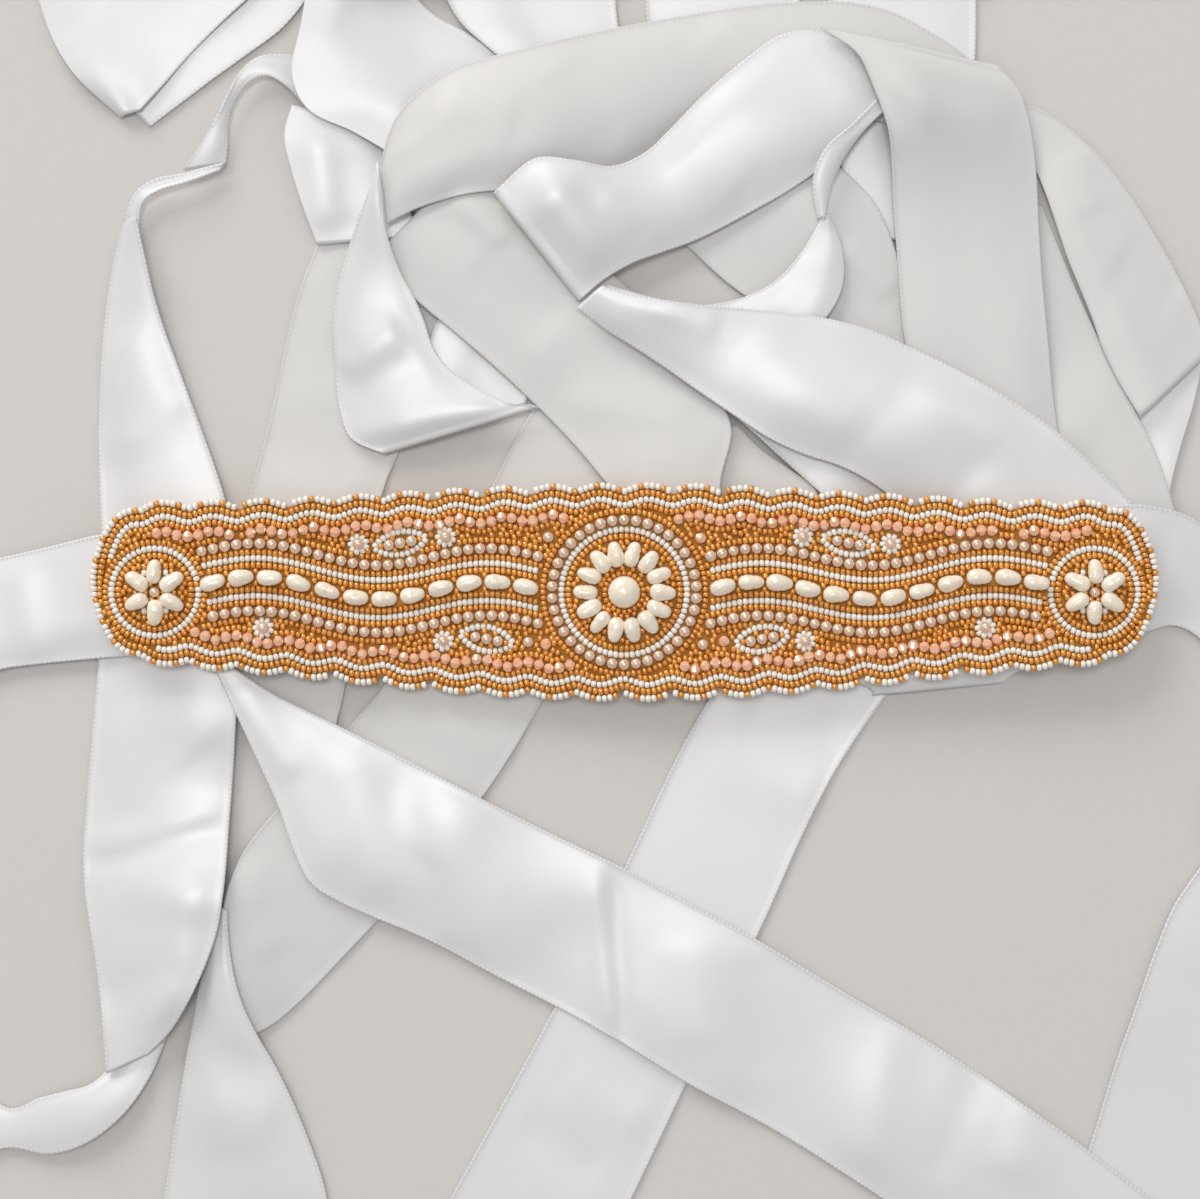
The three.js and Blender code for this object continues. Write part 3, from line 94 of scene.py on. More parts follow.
# Each stretch of ribbon is a row of sections, listed from the lowest stretch to the highest.
# step: length of a facet. fold_start and fold_end: radius of a soft fold that carries that end down to
# the layer below. edges: whether the first and the last side are woven edges, and not a fold.
# Columns of a section: x and y of its middle; turn, the angle in degrees of the line across the ribbon;
# wide, the share of the ribbon's width that shows from above; first, crown and last, how far the first
# selvedge, the middle and the last selvedge stand above what the ribbon lies on.
Stretch = namedtuple("Stretch", "name step fold_start fold_end edges sections")
STRETCHES = [
    Stretch("lower_cross", 8, 0, 0, (True, True), (
        (14.4, 47.8, -27.3, 1.004, 0, 0, 0), (4.1, 29.8, -27.3, 1.004, 0, 0, 0),
        (-2.6, 16.4, -29, 1.005, 0, 0.2, 0), (-16.6, -9, -28.5, 0.993, 0, 0.3, 0),
        (-27.9, -29.4, -36, 0.978, 0, 0.5, 0), (-39.2, -44.5, -42, 1.01, 0, 0.6, 0),
        (-56.3, -64.2, -47.2, 1.015, 0.3, 0.9, 0), (-67.7, -77.4, -44.7, 0.98, 1, 0.8, 0),
        (-75, -88.9, -47.6, 0.843, 2.2, 0.6, 0), (-78.8, -97.4, -50.5, 0.649, 3, 0.4, 0),
        (-80.8, -104.1, -53.5, 0.421, 3, 0.2, 0.4), (-81.2, -107.7, -56.3, 0.244, 2.6, 0, 0.8),
    )),
    Stretch("lower_right_run", 9, 0, 0, (True, True), (
        (100.2, 30.8, -26.6, 0.998, 0, 0, 0), (82.2, 5.1, -33.9, 0.994, 0, 0, 0),
        (53.7, -36, -25.9, 0.992, 0, 0, 0), (34.1, -76.6, -25.4, 1.01, 0, 0, 0),
        (15.8, -113.9, -25.7, 1.028, 0, 0, 0), (-10.3, -163.7, -28.5, 1.077, 0, 0, 0),
        (-25.1, -182.1, -59.4, 0.998, 0, 0, 0),
    )),
    Stretch("far_right_run", 9, 0, 0, (True, True), (
        (183.9, -73.8, -34.8, 0.996, 0, 0.4, 0), (172.8, -89.3, -31, 0.986, 0.6, 0.3, 0),
        (169.9, -98.7, -18.7, 1.014, 1, 0.3, 0), (166, -109.2, -16.5, 1.001, 0.8, 0, 0),
        (160.8, -124, -17.7, 1.001, 0.4, 0, 0), (154.5, -144.7, -15.7, 0.998, 0, 0, 0),
        (145.8, -172.2, -15.4, 1.017, 0, 0, 0),
    )),
    Stretch("left_under_run", 9, 0, 0, (True, True), (
        (-42.1, 91.2, -15.7, 0.998, 0, 0.3, 0), (-48.8, 75.2, -14, 0.976, 0, 0.3, 0),
        (-52.8, 59.8, -14.1, 0.969, 0, 0.3, 0), (-58.1, 41.8, -15.3, 0.897, 0, 0.4, 0),
        (-62.8, 26.1, -1.3, 0.886, 0, 0.5, 0), (-67.6, 3.9, -4.4, 0.882, 0, 0.3, 0),
        (-71.1, -18.6, -15.9, 0.865, 0, 0, 0), (-69.9, -31.1, -10.6, 0.661, 0, 0, 0),
        (-66.6, -47.5, -13.6, 0.404, 0, 0, 0), (-63.5, -64.2, -12.5, 0.125, 0, 0, 0),
    )),
    Stretch("lower_left_drop", 8, 0, 0, (True, True), (
        (-86.4, -78.6, -9.5, 0.082, 3, 0.2, 1.5), (-86.7, -87.4, -27.8, 0.145, 3.4, 0.3, 1.8),
        (-86.7, -97.7, -28.4, 0.284, 3, 0.6, 1.8), (-85.6, -108.2, -16.2, 0.437, 2.4, 0.8, 1.4),
        (-83.4, -121.4, -8.6, 0.677, 1.6, 1, 1), (-81.7, -137.2, -3.4, 0.908, 0.8, 1.1, 0.6),
        (-80.7, -152.8, 0.4, 1.096, 0.3, 0.8, 0.3), (-81.7, -163.7, 2.1, 1.11, 0, 0.3, 0),
        (-86.1, -187.4, 27.5, 1.143, 0, 0, 0),
    )),
    Stretch("bottom_turn", 9, 0, 0, (True, True), (
        (-24.4, -183.4, -59.1, 0.922, 0, 0, 0), (-63, -182.7, -76.2, 0.85, 0, 0.3, 0),
        (-83.1, -180.9, -88.7, 0.866, 0, 0.3, 0), (-104.3, -183.5, -94.4, 0.705, 0, 0, 0),
    )),
    Stretch("left_tail", 9, 0, 0, (True, True), (
        (-105.1, -103.1, 20.8, 0.42, 0, 0.2, 0), (-107.4, -113.1, 13, 0.361, 0, 0.4, 0.6),
        (-111.3, -122.6, -13.4, 0.292, 0.6, 0.6, 1.4), (-117.4, -128.8, -43.3, 0.316, 1, 0.8, 2.2),
        (-125.4, -133, -69.3, 0.383, 0.8, 1, 2.2), (-134.7, -135.2, -81.6, 0.369, 0.5, 0.8, 1.8),
        (-144.2, -135.2, -92.9, 0.271, 0, 0.5, 1.4), (-156.8, -132.9, -90, 0.744, 0, 0.3, 0.4),
        (-174.8, -130.8, -90, 1.001, 0, 0, 0), (-195.3, -131.8, -90, 0.987, 0, 0, 0),
    )),
    Stretch("far_left_drop", 9, 0, 0, (True, True), (
        (-100, -4.1, 0, 0.974, 0, 0.2, 0), (-100.5, -20.3, -8.8, 0.972, 0, 0.8, 0),
        (-101.8, -37.5, -4.8, 0.977, 0, 1.2, 0), (-103.2, -56.5, -3.9, 0.983, 0.3, 1.4, 0.3),
        (-103.8, -70.7, -4, 0.976, 1.2, 2.2, 1), (-103.7, -83.1, -1.3, 0.886, 2.4, 1.2, 1.4),
        (-104.6, -94.8, 1.1, 0.731, 2.6, 0.8, 2), (-107.3, -107.9, 0, 0.507, 2.4, 0.5, 3),
        (-110.6, -118.5, 26, 0.309, 1.5, 0.4, 4),
    )),
    Stretch("left_arc_edge", 6, 0, 0, (True, True), (
        (-58.9, 131.1, -88, 0.379, 0, 0.2, 0.3), (-66.3, 133.1, -90, 0.325, 0.4, 0.5, 1.6),
        (-72, 136.3, -74.6, 0.203, 1.6, 0.5, 2.8), (-77.9, 135.8, -56.3, 0.122, 2.8, 0.3, 2.8),
        (-82.4, 131.2, -37.9, 0.077, 3, 0.2, 2.2), (-85.5, 124.9, -24, 0.067, 2.8, 0.2, 1.6),
        (-88, 118, 9.1, 0.171, 2, 0.6, 1.2), (-91.1, 110.9, 9.2, 0.295, 1, 0.5, 0.6),
    )),
    Stretch("left_twist_edge", 6, 0, 0, (True, True), (
        (-86.1, 111, -126.9, 0.068, 0.3, 0, 0.8), (-90.7, 109.5, -63.4, 0.06, 0.6, 0, 1.6),
        (-96.2, 107.7, -73.3, 0.071, 0.8, 0, 2.4), (-101.8, 106.4, -71.6, 0.086, 0.9, 0, 2.6),
        (-106.4, 104, -54, 0.092, 1, 0.2, 2.8), (-109, 100.2, -8.1, 0.096, 1, 0.2, 2.2),
        (-109.5, 92.8, 7.1, 0.109, 0.6, 0, 1.4),
    )),
    Stretch("far_left_rise", 9, 0, 0, (True, True), (
        (-109.6, 97.1, 31.6, 0.103, 3, 0.4, 5), (-109.7, 90, -8.1, 0.191, 1.8, 0.6, 4.2),
        (-109.4, 74.8, -6.5, 0.361, 0.8, 1, 3.2), (-107.4, 57.3, 1.4, 0.555, 0.3, 1.4, 2.2),
        (-104.5, 39.6, 2.1, 0.738, 0, 1.4, 1.4), (-102, 26.1, 1.4, 0.852, 0, 1.2, 0.8),
        (-99.8, 10.3, 0, 0.94, 0, 0.4, 0), (-100, -3.1, 0, 0.974, 0, 0, 0),
    )),
    Stretch("left_turn", 9, 0, 0, (True, True), (
        (-177.1, -149.8, 2.4, 0.988, 0, 0, 0), (-177.3, -113.1, 0, 1.001, 0, 0.3, 0),
        (-177.3, -66.8, 0, 1.001, 0, 0.4, 0), (-177.1, -24.4, 3.9, 0.99, 0, 0.3, 0),
        (-175.8, 12.9, 7.5, 1.037, 0, 0, 0),
    )),
    Stretch("top_left_back", 9, 0, 0, (True, True), (
        (-110.8, 127, -46.3, 0.411, 0, 0.3, 0), (-97.7, 140.7, -29.4, 0.621, 0, 0.4, 0),
        (-85.2, 152.9, -13.3, 0.883, 0, 0.4, 0), (-78.4, 166, -4.6, 1.018, 0, 0.3, 0),
    )),
    Stretch("top_left_front", 9, 0, 1.8, (False, True), (
        (-110, 124.6, 16.7, 0.141, 0.3, 0, 0.3), (-112.2, 131.6, -3, 0.521, 0.6, 0.4, 0),
        (-111.4, 141.4, -1.7, 0.927, 1, 0.5, 0), (-106.7, 154.2, 0, 1.42, 1, 0.6, 0),
        (-98.7, 171.9, -1.1, 2.083, 0.6, 0.3, 0),
    )),
    Stretch("left_fold_panel", 9, 0, 0, (False, True), (
        (-54.5, 123.1, -13.5, 0.751, 2.4, 0.6, 0), (-55.5, 116.9, -12.6, 0.804, 3, 1, 0),
        (-54.7, 109.7, -10.9, 0.785, 2.6, 1.2, 0), (-52.2, 100.7, -6.2, 0.748, 1.6, 0.8, 0),
        (-49.1, 92, 4.5, 0.692, 0.3, 0.3, 0),
    )),
    Stretch("top_cross_panel", 9, 0, 0, (True, False), (
        (-50.9, 166.5, 180, 0.703, 0, 0.3, 0), (-51.1, 154.2, 180, 0.717, 0, 0.4, 1.2),
        (-47.5, 144.9, 190.6, 1.032, 0, 0.5, 1.8), (-44.5, 136, 198.8, 1.3, 0, 0.6, 1.4),
        (-34.7, 130.2, 204.5, 1.189, 0, 0.6, 0.4), (-25.7, 124.3, 209.4, 1.087, 0, 0.4, 0),
        (-10.9, 113.7, 214.2, 1.022, 0, 0.2, 0),
    )),
    Stretch("top_mid_panel", 9, 0, 0, (True, True), (
        (-8.6, 166.5, 0, 1.238, 0, 0.3, 0), (-6.9, 152.1, 1.4, 1.123, 0, 0.5, 0),
        (1, 138.8, 0, 0.866, 0, 0.3, 0), (11.6, 127.2, 6.3, 0.612, 0, 0, 0),
    )),
    Stretch("top_right_panel_low", 9, 0, 0, (True, True), (
        (42.4, 166.5, 0, 1.014, 0, 0.3, 0), (41.8, 154.2, 0, 1.048, 0, 0.4, 0),
        (42.7, 138.8, 0, 1.001, 0, 0.2, 0),
    )),
    Stretch("top_right_panel", 9, 0, 0, (True, True), (
        (87.9, 166.5, 0, 1.001, 0, 0.3, 0), (87.9, 154.2, 0, 1.001, 0, 0.5, 0),
        (88.2, 143.3, -2, 0.988, 0, 0.3, 0), (88.3, 130.4, -2.1, 0.927, 0, 0, 0),
    )),
    Stretch("top_turn_left", 9, 0, 0, (True, True), (
        (-66, 176.6, 92.4, 0.988, 0, 0, 0), (-46.3, 177.1, 90, 0.987, 0, 0.3, 0),
        (-25.7, 177.1, 90, 0.987, 0, 0.3, 0), (-5.1, 177.1, 90, 0.987, 0, 0.3, 0),
        (16.7, 176.6, 87.6, 0.988, 0, 0, 0),
    )),
    Stretch("top_turn_right", 9, 0, 0, (True, True), (
        (21.3, 176.6, 92.4, 0.988, 0, 0, 0), (43.7, 177.1, 90, 0.987, 0, 0.3, 0),
        (65.5, 177.1, 90, 0.987, 0, 0.3, 0), (87.4, 177.1, 90, 0.987, 0, 0.3, 0),
        (109.2, 176.6, 87.6, 0.988, 0, 0, 0),
    )),
    Stretch("loop_return", 9, 0, 0, (True, True), (
        (-24.7, 45.5, 17, 0.877, 0, 0.5, 0), (-19.9, 60.4, 12.9, 0.909, 0, 0.5, 0),
        (-11.8, 77.1, 11.5, 1.021, 0, 0.4, 0), (-5.8, 91, 10.9, 0.999, 0, 0, 0),
    )),
    Stretch("inner_right_sliver", 9, 0, 0, (True, True), (
        (34.3, 44.3, 3.3, 0.589, 0, 0.2, 0.3), (40.7, 34.8, 5.9, 0.727, 0, 0.3, 0.3),
        (49.5, 24.4, 13.5, 0.869, 0, 0.3, 0.2), (52.2, 7.7, 9, 0.863, 0, 0, 0),
    )),
    Stretch("middle_run", 9, 0, 0, (True, True), (
        (-35, 100.2, 45, 0.995, 0, 0.6, 0), (-23.1, 89.7, 45, 0.995, 0, 1.6, 0),
        (-7.7, 76.5, 46.4, 0.981, 0, 1.8, 0), (6.9, 63.7, 44.5, 1.004, 0.4, 1.6, 0),
        (20.4, 48.2, 26.4, 0.989, 0.8, 1.2, 0.6), (27.5, 37, 20.6, 0.925, 0.6, 1, 1),
        (28, 26.7, 4.5, 0.692, 0.2, 0.5, 0.6), (33.2, 10.8, 2.2, 0.717, 0, 0, 0),
    )),
    Stretch("inner_tongue", 9, 0, 0, (True, True), (
        (81.9, 129, -9.3, 0.5, 0, 0.2, 0), (81.1, 119.5, -7.2, 0.539, 0, 0.5, 0),
        (81.6, 110.1, -5.3, 0.509, 0, 0.7, 0), (83.3, 101.1, -3.1, 0.379, 0, 0.5, 0),
        (86.1, 92.3, -3.8, 0.203, 0, 0.2, 0),
    )),
    Stretch("back_panel", 9, 0, 0, (True, True), (
        (42, 107.9, -134.7, 0.99, 0, 0.4, 0), (57.3, 96, -131.7, 1.078, 0, 1.2, 0.4),
        (70.7, 84.2, -128, 0.988, 0.7, 1, 0), (76.5, 69.1, -139.2, 0.849, 0.5, 0.6, 0),
        (81.7, 52.4, -143.5, 0.774, 0, 0, 0),
    )),
    Stretch("right_loop_under", 9, 0, 0, (False, False), (
        (155.7, 57.8, 31.2, 0.601, 0, 0.3, 0), (155.7, 50.6, 25.8, 0.466, 0, 0.4, 0.6),
        (155.5, 40.3, 10, 0.234, 0, 0.4, 0.8), (155, 32.4, -15.9, 0.098, 0, 0.2, 0.8),
        (152.7, 19.3, -19.7, 0.201, 0, 0, 0),
    )),
    Stretch("right_inner_run", 9, 0, 0, (True, True), (
        (116.5, 104.6, -24.5, 0.424, 0, 0.2, 0), (120, 86.9, 0, 0.5, 0, 0.5, 0.4),
        (126.4, 69.4, 0, 0.568, 0, 0.8, 0.3), (132.1, 51.4, 0, 0.73, 0, 0.8, 0.3),
        (137.9, 34.1, 2.3, 0.833, 0, 0.6, 0.2), (142.4, 16.7, 4.5, 0.868, 0, 0.2, 0),
    )),
    Stretch("right_outer_loop", 9, 0, 2.2, (True, True), (
        (119.2, 120.9, -77.2, 0.368, 0.6, 0.2, 0.2), (127, 111.8, -97.9, 0.587, 0.8, 0.8, 0),
        (136, 98.2, -117.6, 0.672, 1, 1.2, 0), (143.5, 84.6, -127.5, 0.699, 1.2, 1.4, 0),
        (150.2, 70.2, -136.1, 0.722, 1.6, 1.3, 0), (156.6, 56.9, -137.5, 0.67, 2, 0.6, 0),
    )),
    Stretch("big_band", 9, 0, 0, (True, True), (
        (-44.8, 103.3, -85.2, 0.407, 6, 1, 2), (-38.6, 111.5, -77.7, 0.637, 4, 1.8, 1),
        (-26.2, 118.9, -78.8, 0.834, 2, 2.2, 0.8), (-11.6, 122.2, -81.6, 0.923, 1.2, 2.8, 0.6),
        (8.5, 126.4, -79.5, 0.963, 1, 3, 1.2), (24.2, 131.6, -77.3, 0.86, 1, 3, 1),
        (38.6, 134.9, -80.5, 0.823, 1.2, 2.4, 0.3), (58.9, 136.9, -81.8, 0.854, 1.5, 1.8, 0),
        (78, 138, -91.5, 0.771, 1, 1, 0), (88, 134, -100.1, 0.735, 0.6, 0.6, 0),
        (96.6, 128.8, -107.4, 0.723, 0.3, 0.4, 0), (105, 121.2, -116.8, 0.705, 0, 0.2, 0),
    )),
    Stretch("left_loop", 7, 0, 2.2, (True, True), (
        (-45.4, 107.2, -80.5, 0.206, 5, 1, 7), (-46.6, 99.2, -58.7, 0.222, 4, 1.2, 7),
        (-47.5, 87.4, -21.8, 0.364, 2, 1.8, 5.5), (-46.9, 74.8, 1.3, 0.575, 0.8, 2.4, 4),
        (-44.2, 61.4, 1.1, 0.703, 0.8, 3, 3), (-40.3, 53.5, 7, 0.886, 0.8, 3.2, 2),
        (-35.1, 47, 11.1, 1.054, 1, 2.8, 1.6), (-31.4, 45, 15.1, 1.093, 1, 2.2, 1.2),
        (-27, 43.9, 16.6, 1.087, 0.6, 1.4, 0.6),
    )),
    Stretch("upper_cross_band", 9, 2.4, 0, (True, True), (
        (-4.2, 91.2, -51.3, 0.919, 1, 2.2, 1.2), (3.6, 97.3, -59.8, 0.915, 2.2, 3.6, 1.6),
        (13.5, 98.9, -59.7, 0.737, 2.2, 3, 1.8), (22.7, 100.2, -56.5, 0.649, 2.2, 2.4, 1.6),
        (30.8, 104.6, -60.9, 0.696, 2.4, 2.6, 1.6), (41.1, 112.2, -59.8, 0.806, 2.4, 3.2, 1.6),
        (53.3, 121.2, -60.5, 0.893, 2, 3.4, 1.2), (65.5, 130.2, -62, 0.865, 1.2, 2.6, 0.6),
        (73.2, 134.3, -60.4, 0.63, 0.6, 1.2, 0.4), (79.7, 134.9, -68.2, 0.364, 0, 0, 0),
    )),
    Stretch("crescent_face", 9, 0, 0, (True, False), (
        (67.8, 97.9, 26.6, 0.06, 1, 0.2, 0.3), (67.6, 91.9, 1.9, 0.203, 1.4, 0.6, 0.3),
        (66, 85.8, -4.6, 0.339, 1.4, 0.8, 0.2), (62.6, 78.9, -11.8, 0.463, 1.2, 0.8, 0),
        (54.7, 72.3, -30.6, 0.518, 1, 0.6, 0), (42.4, 68.5, -46.7, 0.493, 0.6, 0.4, 0),
        (28.3, 72, -45, 0.383, 0.4, 0.2, 0), (14.6, 77.1, -47.5, 0.22, 0, 0, 0),
    )),
    Stretch("crescent_edge", 9, 0, 0, (True, True), (
        (82, 126.2, -45, 0.096, 0.6, 0.2, 0.4), (77.6, 121.8, -38.7, 0.087, 1.4, 0.3, 0.6),
        (73.1, 117.2, -21.8, 0.109, 2.6, 0.5, 0.8), (69.4, 112.7, -24.2, 0.148, 3.2, 0.8, 1),
        (67.2, 107.7, -15.9, 0.148, 3, 0.8, 1.2), (66.2, 102.4, -18.4, 0.107, 2.2, 0.5, 1),
        (66.6, 96.9, 14, 0.056, 1.4, 0.2, 0.6),
    )),
    Stretch("right_drop", 9, 2.2, 0, (True, True), (
        (90.5, 139.6, -10.9, 1.212, 0, 0.4, 0), (94.7, 136.5, -11.5, 1.153, 0.8, 1.4, 0.6),
        (98.4, 129.8, -11.9, 1.12, 1, 2, 0.8), (102.5, 115.7, -7.7, 1.01, 1, 2, 0.8),
        (103.6, 102.2, -5.9, 0.993, 0.8, 1.6, 0.6), (104.9, 83.5, -4, 0.976, 0.6, 1.6, 0.4),
        (106.4, 66.8, -4, 0.976, 0.2, 1.8, 0.2), (108.8, 52.7, -8.3, 0.936, 0, 1.4, 0),
        (111.8, 39.2, -6.6, 0.885, 0, 0.4, 0),
    )),
    Stretch("sweep_under", 9, 0, 0, (True, True), (
        (37, 68.1, 34.8, 0.593, 0, 0.2, 0), (45.6, 60.3, 36.5, 0.58, 0, 0.4, 0),
        (54.4, 52.4, 34.8, 0.568, 0.2, 0.4, 0), (63.9, 43.9, 36.7, 0.565, 0.3, 0.3, 0),
        (73.2, 35.6, 37.7, 0.564, 0.2, 0.2, 0), (82.9, 26.2, 36.4, 0.546, 0, 0, 0),
    )),
    Stretch("right_sweep", 9, 0, 0, (True, True), (
        (7.6, 77, -140, 0.221, 0.4, 0.3, 0.3), (16.7, 72.6, -130.6, 0.312, 0.6, 0.6, 0.3),
        (28.3, 68.4, -127.6, 0.444, 0.8, 1, 0.4), (45.6, 61.9, -116.1, 0.693, 0.8, 1.8, 0.6),
        (61.7, 55.6, -107.5, 0.901, 0.8, 2.6, 0.8), (75.2, 51.5, -104.7, 0.93, 1, 3, 0.8),
        (87.4, 45.6, -106.5, 0.952, 1, 3, 0.6), (98.3, 38.5, -111.4, 1.017, 0.8, 2.6, 0.3),
        (113.1, 29.4, -122.6, 1.004, 0.6, 1.8, 0), (126.3, 17.3, -128, 1.021, 0.3, 0.8, 0),
        (134.3, 9.4, -129.1, 1.019, 0, 0.2, 0),
    )),
    Stretch("lower_tongue", 5, 0, 1.6, (True, False), (
        (98.9, 1.3, 2.9, 1.354, 0, 0.2, 0), (97.4, -7.2, 4, 1.559, 0, 0.5, 0),
        (97.9, -13.1, 4.6, 1.533, 0.2, 0.6, 0.2), (97.9, -18, 4.7, 1.317, 0.4, 0.6, 0.4),
        (97.4, -21.3, 5.1, 0.91, 0.6, 0.5, 0.5),
    )),
    Stretch("front_cross", 9, 0, 0, (True, True), (
        (-88.5, -14.8, -108.4, 0.064, 0, 0, 0.4), (-78, -27.2, -130.2, 0.283, 0.4, 0.6, 1.2),
        (-63.7, -43.6, -122.2, 0.711, 0.5, 1.2, 1.8), (-52.7, -56.2, -120.4, 1.043, 0.6, 1.8, 1.6),
        (-24.4, -70.3, -117.8, 1.016, 0.3, 2.2, 0.4), (-9, -78.3, -117.4, 1.028, 0, 2.4, 0.2),
        (7.8, -86.6, -116.6, 1.043, 0, 0.5, 0), (24.7, -95.7, -116.1, 1.047, 0, 1.4, 0),
        (41.6, -105.4, -115.3, 1.077, 0.2, 1.4, 0.2), (64.9, -118.9, -119.1, 1.044, 0.4, 0.8, 0.5),
        (86.5, -132, -119.3, 1.063, 0.2, 2, 0.4), (113.1, -149.7, -120.7, 1.061, 0, 1.4, 0.2),
        (137.1, -166.9, -126.9, 1.024, 0, 0.4, 0), (158.7, -185.3, -128.8, 1.025, 0, 0, 0),
    )),
    Stretch("sash_band", 9, 0, 0, (True, True), (
        (-195.6, -5.9, -89.1, 0.906, 0, 0, 0), (-174.8, -8.7, -90, 0.92, 0, 0.3, 0),
        (-158.1, -7.2, -90, 0.839, 0, 0.5, 0), (-143.9, -3.6, -90, 0.757, 0, 0.8, 0.4),
        (-129.8, -1.2, -85, 0.781, 0, 0.6, 0.6), (-113.1, 1.3, -80.7, 0.836, 0, 0.2, 0.2),
        (-93.8, 2.6, -85.4, 0.841, 0, 0, 0), (-66.3, 1, -88.2, 0.866, 0, 0, 0),
        (-36.2, -2.6, -90.9, 0.893, 0, 0, 0), (-5.4, -4.4, -90.9, 0.906, 0, 0, 0),
        (20.8, -4.6, -89.2, 0.92, 0, 0, 0), (51.9, -3.6, -88.3, 0.92, 0, 0, 0),
        (83, -1, -87.5, 0.921, 0, 0, 0), (111.5, 2.3, -86.6, 0.908, 0, 0, 0),
        (135.2, 5.4, -85, 0.937, 0, 0, 0), (147.8, 7.8, -85.6, 0.875, 0, 0.3, 0),
        (157, 8, -91, 0.771, 0, 0.8, 0.4), (164.5, 4.6, -90, 0.757, 0, 0.8, 0.8),
        (176, -7.7, -102.1, 0.968, 0, 0.5, 0), (194.7, -17.3, -112.2, 0.986, 0, 0, 0),
    )),
    Stretch("right_turn", 9, 0, 0, (True, True), (
        (194.9, -17.7, -110.5, 1.025, 0, 0, 0), (188.3, -23.1, -152.4, 0.877, 0, 0.3, 0),
        (186.3, -36.6, -178, 0.947, 0, 0.4, 0), (184.7, -57.2, -185.8, 0.999, 0, 0.3, 0),
        (183.1, -75.2, -214.2, 1.022, 0, 0, 0),
    )),
]

